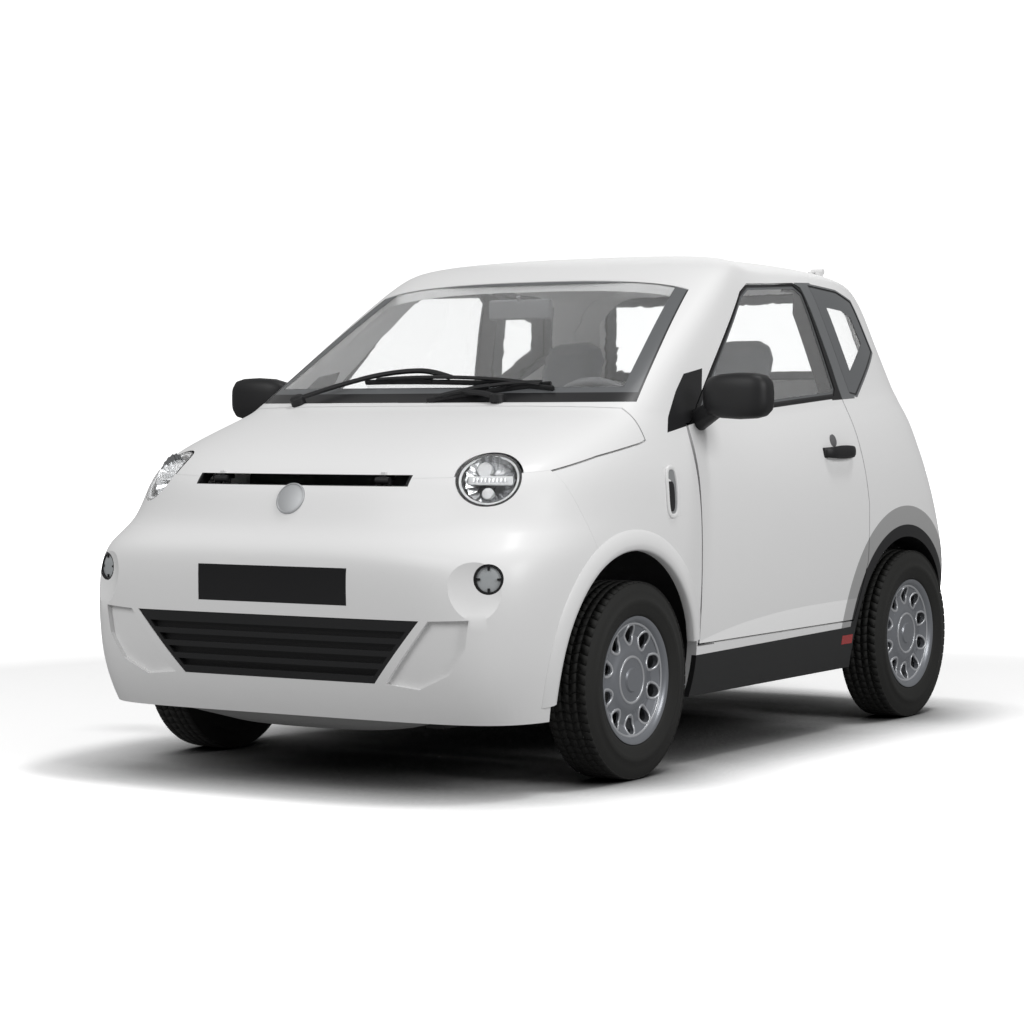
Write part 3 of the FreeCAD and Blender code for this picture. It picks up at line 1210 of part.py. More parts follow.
wipers = []
for armPath, bladePath in (wiperShares[:2], wiperShares[2:]):
    foot = screenPoint(*armPath[0], 0.0)
    root = foot - screenNormal * glassStep * 2
    post = Part.makeCylinder(wiperWidth * 1.5, bladeRise + armRise + glassStep * 2, root, screenNormal)
    post = post.cut(postSeat)
    arm = armShell.common(strip(armPath, wiperWidth / 2))
    blade = bladeShell.common(strip(bladePath, wiperWidth / 3))
    wipers.append(blade.fuse([arm, post]))
feature("wipers", Part.makeCompound(wipers))

# Room mirror on its stem, against the windscreen
stemTop = screenHigh - screenNormal * (size("glassSetback") + size("glassThickness") + seat)
stemLow = stemTop - screenNormal * size("roomMirrorDrop")
roomHalf = size("roomMirrorLength") / 2
roomRise = size("roomMirrorHeight") / 2
roomThick = size("roomMirrorHeight") / 3
roomMirror = box(-roomHalf, roomHalf, stemLow.y - roomThick, stemLow.y, stemLow.z - roomRise, stemLow.z + roomRise)
roomMirror = roomMirror.makeFillet(roomThick * 0.4, roomMirror.Edges)
feature("rear_view_mirror", roomMirror.fuse(rod(stemTop, stemLow, size("roomMirrorStem"))))
print("all made")
doc.recompute()
for item in doc.Objects:
    faults = [word for word in item.State if word in ("Invalid", "Error")]
    if faults:
        raise RuntimeError("%s is %s" % (item.Label, faults))
for item in nodes:
    shape = item.Shape
    if shape.isNull() or not shape.isValid():
        raise RuntimeError("%s has no valid shape" % item.Label)
    print(item.Label, len(shape.Solids), round(shape.Volume / 1e6, 3))
    shape.exportStep("parts/%s.step" % item.Label)
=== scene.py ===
import json
import math

import bmesh
import bpy
from mathutils import Matrix, Vector
from mathutils.bvhtree import BVHTree

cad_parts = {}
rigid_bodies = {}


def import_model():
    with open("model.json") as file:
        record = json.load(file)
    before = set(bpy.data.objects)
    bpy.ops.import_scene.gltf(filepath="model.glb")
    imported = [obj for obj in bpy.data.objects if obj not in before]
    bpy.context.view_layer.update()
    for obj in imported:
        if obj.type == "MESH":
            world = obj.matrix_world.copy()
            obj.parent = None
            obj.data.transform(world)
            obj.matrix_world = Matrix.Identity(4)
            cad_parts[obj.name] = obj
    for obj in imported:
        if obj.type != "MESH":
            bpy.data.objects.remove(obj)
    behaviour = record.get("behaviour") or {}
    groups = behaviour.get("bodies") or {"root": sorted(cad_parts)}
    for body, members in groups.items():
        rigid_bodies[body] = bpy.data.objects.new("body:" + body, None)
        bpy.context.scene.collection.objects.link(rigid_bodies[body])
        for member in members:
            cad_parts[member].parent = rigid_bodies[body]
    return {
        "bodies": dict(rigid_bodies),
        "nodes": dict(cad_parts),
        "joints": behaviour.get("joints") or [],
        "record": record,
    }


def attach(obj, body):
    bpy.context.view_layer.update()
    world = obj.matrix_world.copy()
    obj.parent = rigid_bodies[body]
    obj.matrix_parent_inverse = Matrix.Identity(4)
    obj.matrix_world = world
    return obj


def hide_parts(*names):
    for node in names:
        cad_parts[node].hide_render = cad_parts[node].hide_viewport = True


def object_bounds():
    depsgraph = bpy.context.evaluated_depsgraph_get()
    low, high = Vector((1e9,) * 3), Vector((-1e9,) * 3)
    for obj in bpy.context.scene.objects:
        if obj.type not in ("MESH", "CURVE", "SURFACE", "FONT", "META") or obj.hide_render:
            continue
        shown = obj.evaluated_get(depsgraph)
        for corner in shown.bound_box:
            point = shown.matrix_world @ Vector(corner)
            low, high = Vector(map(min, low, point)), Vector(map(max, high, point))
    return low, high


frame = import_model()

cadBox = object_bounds()
nodes = frame["nodes"]
print("stage: frame loaded,", len(nodes), "nodes")

carSet = {"frontAxle": -0.749, "wheelbase": 1.72, "height": 1.47, "halfWidth": 0.75, "tyreRadius": 0.2665,
          "halfTrack": 0.68}
wheelSpots = [("%s_%s" % (end, side), sign, shift) for end, shift in (("front", 0), ("rear", carSet["wheelbase"]))
              for side, sign in (("left", 1), ("right", -1))]


def addObject(name, data):
    o = bpy.data.objects.new(name, data)
    bpy.context.scene.collection.objects.link(o)
    return o


def evaluated(o):
    return o.evaluated_get(bpy.context.evaluated_depsgraph_get())


# camera, placed against the photograph
cameraSet = {
    "place": (4.504, -7.104, 1.012),
    "yaw": 0.56773,  # turned from +Y towards -X
    "pitchDown": math.radians(1.305),
    "roll": math.radians(-0.31),
    "focalPixels": 2765.5,
    "centrePixel": (544.1, 465.0),
    "imagePixels": 1024,
    "sensor": 36,
    "clipEnd": 100,
}


def makeCamera(s):
    yaw, pitch, pixels = s["yaw"], s["pitchDown"], s["imagePixels"]
    ahead = Vector((-math.sin(yaw) * math.cos(pitch), math.cos(yaw) * math.cos(pitch), -math.sin(pitch)))
    level = ahead.cross(Vector((0, 0, 1))).normalized()
    upright = level.cross(ahead)
    c, k = math.cos(s["roll"]), math.sin(s["roll"])
    right, up = level * c + upright * k, upright * c - level * k
    data = bpy.data.cameras.new("photoCamera")
    data.sensor_width = s["sensor"]
    data.lens = s["sensor"] * s["focalPixels"] / pixels
    data.shift_x = (pixels / 2 - s["centrePixel"][0]) / pixels
    data.shift_y = (s["centrePixel"][1] - pixels / 2) / pixels
    data.clip_end = s["clipEnd"]
    cam = addObject("photoCamera", data)
    cam.matrix_world = Matrix.Translation(s["place"]) @ Matrix((right, up, -ahead)).transposed().to_4x4()
    bpy.context.scene.camera = cam


makeCamera(cameraSet)


# node helpers
def newGroup(name, inputs, outputs, kind="ShaderNodeTree"):
    g = bpy.data.node_groups.new(name, kind)
    for label, socketKind, value in inputs:
        socket = g.interface.new_socket(label, in_out="INPUT", socket_type="NodeSocket" + socketKind)
        if value is not None:
            socket.default_value = value
    for label, socketKind in outputs:
        g.interface.new_socket(label, in_out="OUTPUT", socket_type="NodeSocket" + socketKind)
    return g, g.nodes.new("NodeGroupInput"), g.nodes.new("NodeGroupOutput")


def put(tree, socket, value):  # a link or a plain value
    if hasattr(value, "is_output"):
        tree.links.new(value, socket)
    else:
        socket.default_value = value


def add(tree, kind, values=None, **settings):  # a kind without Node in it is a shader node's
    n = tree.nodes.new(kind if "Node" in kind else "ShaderNode" + kind)
    for key, value in settings.items():
        setattr(n, key, value)
    for label, value in (values or {}).items():
        put(tree, n.inputs[label], value)
    return n


def calc(tree, kind, *values):
    return add(tree, "Math", dict(enumerate(values)), operation=kind).outputs[0]


def mixColour(tree, factor, a, b):
    return add(tree, "Mix", {0: factor, 6: a, 7: b}, data_type="RGBA").outputs[2]


def objectPlace(tree):
    return add(tree, "TexCoord").outputs["Object"]


def objectXyz(tree):
    return add(tree, "SeparateXYZ", {0: objectPlace(tree)}).outputs


def buildGrainGroup():
    g, gi, go = newGroup("surfaceGrain", [
        ("Scale", "Float", 60.0), ("Depth", "Float", 0.1), ("Colour", "Color", (0.5, 0.5, 0.5, 1)),
        ("Spread", "Float", 0.1), ("Roughness", "Float", 0.4), ("Rough spread", "Float", 0.1),
        ("Distance", "Float", 0.0005),
    ], [("Colour", "Color"), ("Roughness", "Float"), ("Normal", "Vector")])
    given = gi.outputs
    place = objectPlace(g)
    fine = add(g, "TexNoise", {"Vector": place, "Scale": given["Scale"], "Detail": 4}).outputs["Fac"]
    broad = add(g, "TexNoise", {"Vector": place, "Scale": 3.0, "Detail": 3}).outputs["Fac"]
    shade = calc(g, "MULTIPLY_ADD", calc(g, "SUBTRACT", broad, 0.5), given["Spread"], 1.0)
    tint = add(g, "VectorMath", {0: given["Colour"], "Scale": shade}, operation="SCALE")
    rough = calc(g, "MULTIPLY_ADD", calc(g, "SUBTRACT", fine, 0.5), given["Rough spread"], given["Roughness"])
    bump = add(g, "Bump", {"Strength": given["Depth"], "Distance": given["Distance"], "Height": fine})
    put(g, go.inputs["Colour"], tint.outputs[0])
    put(g, go.inputs["Roughness"], rough)
    put(g, go.inputs["Normal"], bump.outputs[0])
    return g


grainGroup = buildGrainGroup()


def newMaterial(name, **plain):  # Specular_IOR_Level stands for the socket Specular IOR Level
    m = bpy.data.materials.new(name)
    m.use_nodes = True
    p = m.node_tree.nodes["Principled BSDF"]
    for key, value in plain.items():
        p.inputs[key.replace("_", " ")].default_value = value
    return m, m.node_tree, p


def grainMaterial(name, colour, roughness, scale=80.0, depth=0.1, spread=0.06, roughSpread=0.08,
                  distance=0.0005, **plain):
    m, t, p = newMaterial(name, **plain)
    g = add(t, "Group", {
        "Scale": scale, "Depth": depth, "Colour": (*colour, 1), "Spread": spread, "Roughness": roughness,
        "Rough spread": roughSpread, "Distance": distance}, node_tree=grainGroup)
    for label, socket in (("Colour", "Base Color"), ("Roughness", "Roughness"), ("Normal", "Normal")):
        t.links.new(g.outputs[label], p.inputs[socket])
    return m


def glassMaterial(name, colour, ior):
    return newMaterial(name, Base_Color=(*colour, 1), Transmission_Weight=1, Roughness=0.02, IOR=ior)[0]


# zones of a panel, cut out by straight-edged outlines given in shares of the car
def sideOutline(shares):
    return [(carSet["frontAxle"] + y * carSet["wheelbase"], z * carSet["height"]) for y, z in shares]


def frontOutline(shares):
    return [(x * carSet["halfWidth"], z * carSet["height"]) for x, z in shares]


def outlineGroup(name, points, across):  # distance from the outline, below 0 inside
    g, go = newGroup(name, [], [("Distance", "Float")])[::2]
    place = objectXyz(g)
    run, rise = place[across], place[2]
    if across == 0:
        run = calc(g, "ABSOLUTE", run)
    pairs = list(zip(points, points[1:] + points[:1]))
    area = sum(a[0] * b[1] - b[0] * a[1] for a, b in pairs)
    far = None
    for a, b in pairs:
        dx, dy = b[0] - a[0], b[1] - a[1]
        size = math.copysign(math.hypot(dx, dy), area)
        nx, ny = dy / size, -dx / size
        here = calc(g, "ADD", calc(g, "MULTIPLY_ADD", run, nx, -nx * a[0] - ny * a[1]),
                    calc(g, "MULTIPLY", rise, ny))
        far = here if far is None else calc(g, "MAXIMUM", far, here)
    put(g, go.inputs["Distance"], far)
    return g


zoneSet = {  # axis that runs across the view (0 front, 1 side), outline
    "door": (1, sideOutline([(0.246, 0.660), (0.492, 0.902), (0.530, 0.921), (0.712, 0.930), (0.736, 0.914),
                             (0.770, 0.712), (0.760, 0.698)])),
    "quarter": (1, sideOutline([(0.773, 0.932), (0.885, 0.922), (0.942, 0.902), (0.977, 0.793), (0.850, 0.699),
                                (0.824, 0.703)])),
    "pillar": (1, sideOutline([(0.724, 0.934), (0.786, 0.936), (0.838, 0.694), (0.750, 0.690)])),
    "screen": (0, frontOutline([(-0.862, 0.688), (0.862, 0.688), (0.700, 0.944), (0.660, 0.954), (-0.660, 0.954)])),
    "hatch": (0, frontOutline([(-0.690, 0.735), (0.690, 0.735), (0.610, 0.920), (0.580, 0.930), (-0.580, 0.930)])),
    "sail": (1, sideOutline([(0.136, 0.630), (0.153, 0.658), (0.199, 0.708), (0.236, 0.741), (0.300, 0.752),
                             (0.262, 0.652)])),
    "cowl": (0, frontOutline([(-0.900, 0.600), (0.900, 0.600), (0.900, 0.706), (-0.900, 0.706)])),
    "slot": (0, frontOutline([(-0.470, 0.5405), (0.470, 0.5405), (0.470, 0.5605), (-0.470, 0.5605)])),
}
zoneGroups = {name: outlineGroup("zone_" + name, points, across) for name, (across, points) in zoneSet.items()}


def zoneBelow(tree, zone, edge):
    return calc(tree, "LESS_THAN", add(tree, "Group", node_tree=zoneGroups[zone]).outputs[0], edge)


# rear arch ring, painted on the panels: black inside it as painted shadow of the wheel opening, and a grey band
# round it as painted shade of a lip; and the crease low in the door, across the gap between door and shell
archSet = {"centre": (0.923, 0.2365), "inner": 0.38, "outer": 0.44, "side": 0.62, "rearEnd": 1.285}
creaseSet = {"slope": 0.5, "end": 0.587, "length": 0.99, "level": 0.403, "curve": 3.0, "fall": 0.06}


def buildArchRing(s):
    g, gi, go = newGroup("rearArchShadePaint", [("Inner", "Float", s["inner"]), ("Outer", "Float", s["outer"])],
                         [("Inside", "Float"), ("LipShade", "Float")])
    x, y, z = objectXyz(g)
    side = calc(g, "MULTIPLY", calc(g, "GREATER_THAN", calc(g, "ABSOLUTE", x), s["side"]),
                calc(g, "LESS_THAN", y, s["rearEnd"]))
    y, z = calc(g, "SUBTRACT", y, s["centre"][0]), calc(g, "SUBTRACT", z, s["centre"][1])
    radius = calc(g, "SQRT", calc(g, "ADD", calc(g, "MULTIPLY", y, y), calc(g, "MULTIPLY", z, z)))
    # painted shadow of the wheel opening inside the inner radius, painted shade of a lip in the band out to the
    # outer radius
    inside, band = [calc(g, "MULTIPLY", calc(g, "LESS_THAN", radius, gi.outputs[label]), side)
                    for label in ("Inner", "Outer")]
    put(g, go.inputs["Inside"], inside)
    put(g, go.inputs["LipShade"], calc(g, "SUBTRACT", band, inside))
    return g


def buildCrease(s):
    g, gi, go = newGroup("doorCrease", [("Slope", "Float", s["slope"])], [("Height", "Float")])
    y, z = list(objectXyz(g))[1:]
    ahead = calc(g, "MAXIMUM", calc(g, "DIVIDE", calc(g, "SUBTRACT", s["end"], y), s["length"]), 0.0)
    line = calc(g, "SUBTRACT", s["level"], calc(g, "MULTIPLY", calc(g, "POWER", ahead, s["curve"]), s["fall"]))
    below = calc(g, "MAXIMUM", calc(g, "SUBTRACT", line, z), 0.0)
    put(g, go.inputs["Height"], calc(g, "MULTIPLY", below, gi.outputs["Slope"]))
    return g


# the lip grey is painted shade for the band round the rear arch; black also fills the rear arch as painted shadow
# of the wheel opening
paintSet = {"colour": (0.80, 0.80, 0.80), "roughness": 0.45, "coat": 0.10, "coatRoughness": 0.2, "specular": 0.3,
            "black": (0.012, 0.012, 0.013), "frit": (0.15, 0.155, 0.16), "lipShadeGrey": (0.36, 0.36, 0.36)}
glassSet = {"colour": (0.975, 0.98, 0.98), "ior": 1.5, "frit": (0.12, 0.125, 0.13), "fritRoughness": 0.3,
            "black": (0.014, 0.014, 0.015), "rim": 0.006}
archGroup = buildArchRing(archSet)
creaseGroup = buildCrease(creaseSet)


def paintWith(name, parts=(), arch=False, crease=False):
    m = grainMaterial(name, paintSet["colour"], paintSet["roughness"], scale=600, depth=0.02, spread=0.015,
                      roughSpread=0.04, distance=0.0002, Coat_Weight=paintSet["coat"],
                      Coat_Roughness=paintSet["coatRoughness"], Specular_IOR_Level=paintSet["specular"])
    t = m.node_tree
    colour, normal = [t.nodes["Principled BSDF"].inputs[label] for label in ("Base Color", "Normal")]
    last = colour.links[0].from_socket
    # rear arch: grey painted lip shade, then black painted shadow of the wheel opening
    if arch:
        ring = add(t, "Group", node_tree=archGroup).outputs
        last = mixColour(t, ring["LipShade"], last, (*paintSet["lipShadeGrey"], 1))
        last = mixColour(t, ring["Inside"], last, (*paintSet["black"], 1))
    for zone, edge, tint in parts:
        last = mixColour(t, zoneBelow(t, zone, edge), last, (*paintSet[tint], 1))
    t.links.new(last, colour)
    if crease:
        fold = add(t, "Group", node_tree=creaseGroup).outputs["Height"]
        bump = add(t, "Bump", {"Distance": 1.0, "Height": fold, "Normal": normal.links[0].from_socket})
        t.links.new(bump.outputs[0], normal)
    return m


def fritGlass(name, zone, edge, extra=()):  # clear inside the zone, printed grey and black round it
    m = glassMaterial(name, glassSet["colour"], glassSet["ior"])
    t = m.node_tree
    rim = calc(t, "SUBTRACT", 1.0, zoneBelow(t, zone, -glassSet["rim"]))
    for other, grow in extra:
        rim = calc(t, "MAXIMUM", rim, zoneBelow(t, other, grow))
    tone = mixColour(t, rim, (*glassSet["frit"], 1), (*glassSet["black"], 1))
    frit = add(t, "BsdfPrincipled", {"Base Color": tone, "Roughness": glassSet["fritRoughness"]})
    band = calc(t, "MAXIMUM", rim, calc(t, "SUBTRACT", 1.0, zoneBelow(t, zone, -edge)))
    both = add(t, "MixShader", {0: band, 1: t.nodes["Principled BSDF"].outputs[0], 2: frit.outputs[0]})
    t.links.new(both.outputs[0], t.nodes["Material Output"].inputs[0])
    return m


paint = paintWith("whitePaint", arch=True)
shellPaint = paintWith("whitePaintShell", (("quarter", 0.006, "frit"), ("pillar", 0.002, "frit"),
                                           ("sail", 0.0, "black"), ("slot", 0.0, "black")), arch=True)
doorPaint = paintWith("whitePaintDoor", (("door", 0.009, "black"), ("pillar", 0.002, "black"),
                                         ("sail", 0.0, "black")), arch=True, crease=True)
nosePaint = paintWith("whitePaintNose", (("slot", 0.0, "black"),))
lipPaint = paintWith("whitePaintLip")
blackPlastic = grainMaterial("grainedBlack", (0.013, 0.013, 0.014), 0.5, 900, 0.35, Specular_IOR_Level=0.35)
glossBlack = grainMaterial("glossBlack", (0.008, 0.008, 0.009), 0.16, 300, 0.03)
sillGrey = grainMaterial("sillGrey", (0.020, 0.0205, 0.021), 0.5, 700, 0.3, Specular_IOR_Level=0.35)
rubber = grainMaterial("tyreRubber", (0.017, 0.017, 0.016), 0.7, 500, 0.3, 0.3, Specular_IOR_Level=0.3)
wheelPaint = grainMaterial("wheelSilver", (0.22, 0.23, 0.25), 0.36, 1200, 0.05, Metallic=0.45, Coat_Weight=0.2)
coverEdge = grainMaterial("coverEdge", (0.50, 0.51, 0.53), 0.32, 1200, 0.05, Metallic=0.5)
chrome = grainMaterial("lampChrome", (0.42, 0.43, 0.44), 0.22, 200, 0.02, Metallic=1.0)
lampWhite = grainMaterial("lampBarWhite", (0.58, 0.59, 0.60), 0.45, 300, 0.05)
fogGrey = grainMaterial("fogLensGrey", (0.40, 0.42, 0.43), 0.25, 400, 0.2, Coat_Weight=0.6)
redLens = grainMaterial("redLens", (0.36, 0.010, 0.010), 0.14, 200, 0.02, Coat_Weight=0.5)
badgeGrey = grainMaterial("badgeGrey", (0.42, 0.43, 0.44), 0.45, 500, 0.05, Metallic=0.3)
lockGrey = grainMaterial("lockGrey", (0.16, 0.16, 0.165), 0.4, 800, 0.1, Metallic=0.3)
scoopGrey = grainMaterial("scoopLight", (0.26, 0.265, 0.27), 0.5, 500, 0.2)
trayGrey = grainMaterial("trayGrey", (0.30, 0.30, 0.30), 0.55, 500, 0.3)
darkSteel = grainMaterial("darkSteel", (0.030, 0.030, 0.030), 0.5, 400, 0.2, Metallic=0.3)
castIron = grainMaterial("castMetal", (0.10, 0.10, 0.10), 0.6, 200, 0.5, Metallic=0.6)
cabinPlastic = grainMaterial("cabinGrain", (0.13, 0.133, 0.14), 0.6, 900, 0.4)
screenGlass = fritGlass("screenGlass", "screen", 0.040, (("cowl", 0.0),))
doorGlass = fritGlass("doorGlass", "door", 0.012)
quarterGlass = fritGlass("quarterGlass", "quarter", 0.062)
hatchGlass = fritGlass("hatchGlass", "hatch", 0.030)
lensGlass = glassMaterial("lensClear", (0.97, 0.97, 0.97), 1.3)
print("stage: materials")


# finish and shading of the carried-over solids
dressSet = {"weld": 0.00002, "sharp": math.radians(28), "finish": (
    (shellPaint, "body_shell"), (nosePaint, "front_bumper bonnet"), (doorPaint, "door_left door_right"),
    (paint, "rear_bumper tailgate side_scoops"), (sillGrey, "sills"), (glossBlack, "number_plate_front"),
    (blackPlastic, "grille arch_liners mirror_left mirror_right wipers handle_left handle_right"),
    (screenGlass, "windscreen"), (doorGlass, "door_glass_left door_glass_right"), (quarterGlass, "quarter_glass"),
    (hatchGlass, "tailgate_glass"), (chrome, "headlamps fog_lamps"), (redLens, "tail_lamps side_markers"),
    (darkSteel, "hinges_left hinges_right chassis_rails front_suspension rear_axle steering_column"),
    (castIron, "knuckle_left knuckle_right power_unit"),
    (cabinPlastic, "bulkhead rear_view_mirror dashboard steering_wheel seat_base_left seat_base_right"
                   " seat_left seat_right"),
    (wheelPaint, "wheel_front_left wheel_front_right wheel_rear_left wheel_rear_right"),
    (rubber, "tyre_front_left tyre_front_right tyre_rear_left tyre_rear_right"))}


def buildSmoothTree(s):
    g, gi, go = newGroup("weldAndSmooth", [("Geometry", "Geometry", None)], [("Geometry", "Geometry")],
                         "GeometryNodeTree")
    weld = add(g, "GeometryNodeMergeByDistance", {"Geometry": gi.outputs[0], "Distance": s["weld"]})
    smooth = add(g, "GeometryNodeSetShadeSmooth", {"Geometry": weld.outputs[0]})
    angle = add(g, "GeometryNodeInputMeshEdgeAngle").outputs["Unsigned Angle"]
    over = add(g, "FunctionNodeCompare", {0: angle, 1: s["sharp"]}, data_type="FLOAT", operation="GREATER_THAN")
    sharp = add(g, "GeometryNodeSetShadeSmooth", {"Geometry": smooth.outputs[0], "Selection": over.outputs[0],
                                                  "Shade Smooth": False}, domain="EDGE")
    put(g, go.inputs[0], sharp.outputs[0])
    return g


def dressSolids(s):
    smoothTree = buildSmoothTree(s)
    for finish, names in s["finish"]:
        for name in names.split():
            mesh = nodes[name].data
            mesh.materials.clear()
            mesh.materials.append(finish)
            nodes[name].modifiers.new("weldAndSmooth", "NODES").node_group = smoothTree


dressSolids(dressSet)
print("stage: solids dressed")


# helpers for made pieces
def place(mesh, name, material, body, slot, stands=()):
    if material is not None:
        mesh.materials.clear()
        mesh.materials.append(material)
    o = addObject(name, mesh)
    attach(o, body)
    if stands:
        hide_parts(*stands)
    return o


def meshFrom(bm, name, sharp):
    bmesh.ops.remove_doubles(bm, verts=bm.verts, dist=0.00001)
    bmesh.ops.recalc_face_normals(bm, faces=bm.faces)
    for e in bm.edges:
        e.smooth = not e.is_manifold or e.calc_face_angle(0) < math.radians(sharp)
    mesh = bpy.data.meshes.new(name)
    bm.to_mesh(mesh)
    bm.free()
    mesh.polygons.foreach_set("use_smooth", [True] * len(mesh.polygons))
    return mesh


def settle(bm, name, material, body="body", slot="dark_trim", stands=(), sharp=40, mirrored=False):
    if mirrored:
        bothSides(bm)
    return place(meshFrom(bm, name, sharp), name, material, body, slot, stands)


def bothSides(bm):
    found = bmesh.ops.duplicate(bm, geom=bm.verts[:] + bm.edges[:] + bm.faces[:])["geom"]
    for v in found:
        if isinstance(v, bmesh.types.BMVert):
            v.co.x = -v.co.x
    bmesh.ops.reverse_faces(bm, faces=[f for f in found if isinstance(f, bmesh.types.BMFace)])


def flipped(mesh):
    other = mesh.copy()
    other.transform(Matrix.Scale(-1, 4, (1, 0, 0)))
    other.flip_normals()
    return other


def placePair(mesh, stem, material, replaced=None):  # the same piece on both doors
    for side in ("left", "right"):
        place(mesh if side == "left" else flipped(mesh), stem + side, material, "door_" + side, "dark_trim",
              (replaced + side,) if replaced else ())


def axisFrame(axis, up=(0, 0, 1)):
    w = Vector(axis).normalized()
    u = Vector(up).cross(w).normalized()
    return Matrix((u, w.cross(u), w)).transposed()


def angles(count):
    return [2 * math.pi * k / count for k in range(count)]


def loopRings(bm, rings, closed=True):  # a tube through the rings, joined end to end or capped
    made = [[bm.verts.new(p) for p in ring] for ring in rings]
    pairs = zip(made, made[1:] + made[:1]) if closed else zip(made, made[1:])
    for a, b in pairs:
        for i in range(len(a)):
            j = (i + 1) % len(a)
            bm.faces.new((a[i], a[j], b[j], b[i]))
    if not closed:
        bm.faces.new(made[0])
        bm.faces.new(made[-1][::-1])


def capped(*tubes):
    bm = bmesh.new()
    for rings in tubes:
        loopRings(bm, rings, False)
    return bm


def lathe(bm, profile, turn, centre, segments=64, facets=0.0):
    rings = []
    for k, a in enumerate(angles(segments)):
        q = 1 - facets * (k % 2)
        rings.append([turn @ Vector((r * q * math.cos(a), r * q * math.sin(a), w)) + centre for r, w in profile])
    loopRings(bm, rings)


def tubeLoop(bm, spots, tube, flat, sides=8):  # a closed bead, flattened along x
    rings = []
    for i, spot in enumerate(spots):
        ahead = (spots[(i + 1) % len(spots)] - spots[i - 1]).normalized()
        side = ahead.cross(Vector((1, 0, 0))).normalized()
        rings.append([spot + side * math.cos(a) * tube + Vector((1, 0, 0)) * math.sin(a) * tube * flat
                      for a in angles(sides)])
    loopRings(bm, rings)


def superRing(x, y, z, a, b, power, count=40):
    ring = []
    for t in angles(count):
        c, n = math.cos(t), math.sin(t)
        ring.append(Vector((x, y + a * math.copysign(abs(c) ** (2 / power), c),
                            z + b * math.copysign(abs(n) ** (2 / power), n))))
    return ring


def boxAt(bm, turn, centre, low, high, bevel):
    v = [bm.verts.new(turn @ Vector((x, y, z)) + centre) for x in (low[0], high[0]) for y in (low[1], high[1])
         for z in (low[2], high[2])]
    made = [bm.faces.new([v[i] for i in f]) for f in
            ((0, 1, 3, 2), (4, 6, 7, 5), (0, 4, 5, 1), (2, 3, 7, 6), (0, 2, 6, 4), (1, 5, 7, 3))]
    bmesh.ops.bevel(bm, geom=list({e for f in made for e in f.edges}), offset=bevel, segments=2, affect="EDGES",
                    profile=0.6)


def skinTree(*names):
    verts, faces = [], []
    for name in names:
        mesh = nodes[name].data
        start = len(verts)
        verts += [v.co.copy() for v in mesh.vertices]
        faces += [[start + i for i in p.vertices] for p in mesh.polygons]
    return BVHTree.FromPolygons(verts, faces)


def hit(tree, start, direction):
    return tree.ray_cast(Vector(start), Vector(direction).normalized())[:2]


def fromSide(tree, y, z):
    return hit(tree, (2, y, z), (-1, 0, 0))


# lamps let into the skin: bucket, ring, reflector, bar and lens
headSet = {"spot": (0.54525, -1.16663, 0.81732), "axis": (0.36, -1.0, 0.34), "radius": 0.0835, "segments": 72,
           "lens": 0.0025, "deep": 0.056, "wall": 0.002, "darkRing": 0.0765, "paleIn": 0.0705, "play": 0.0003,
           "bowlRadius": 0.0680, "bowl": 0.030, "bowlDrop": 0.014, "bowlSteps": 8, "bowlSides": 40, "facets": 0.06,
           "barHeight": 0.024, "barReach": 0.060, "barDrops": (0.026, 0.016), "barBevel": 0.003,
           "discs": ((-0.018, 0.030, 0.021), (-0.006, -0.034, 0.016)), "discDrops": (0.040, 0.024, 0.0205, 0.018),
           "slats": 9, "slatPitch": 0.0105, "slatHalf": 0.0032, "slatDrops": (0.017, 0.0148), "slatBevel": 0.0006}
fogSet = {"spot": (0.62775, -1.28247, 0.56448), "axis": (0.35, -1.0, 0.0), "radius": 0.0386, "segments": 48,
          "deep": 0.016, "wall": 0.002, "darkRing": 0.0325, "notch": 0.006, "notchLong": 0.010,
          "lensDrops": (0.002, 0.004, 0.009)}


def lampSkin(node, s, radii):  # how high the skin stands over the lamp's plane, by radius and angle
    tree = skinTree(node)
    turn = axisFrame(s["axis"])
    w = turn @ Vector((0, 0, 1))
    centre = Vector(s["spot"])
    rows = []
    for r in radii:
        row = []
        for a in angles(s["segments"]):
            at = centre + turn @ Vector((r * math.cos(a), r * math.sin(a), 0))
            spot = hit(tree, at + w * 0.3, -w)[0]
            row.append(0.0 if spot is None else (spot - centre).dot(w))
        rows.append(row)

    def lofted(*profiles):
        bm = bmesh.new()
        for profile in profiles:
            rings = []
            for k, a in enumerate(angles(s["segments"])):
                ring = []
                for r, drop in profile:
                    i = min(range(len(radii)), key=lambda n: abs(radii[n] - r))
                    ring.append(turn @ Vector((r * math.cos(a), r * math.sin(a), rows[i][k] - drop)) + centre)
                rings.append(ring)
            loopRings(bm, rings)
        return bm

    return turn, centre, sum(rows[3]) / len(rows[3]), lofted


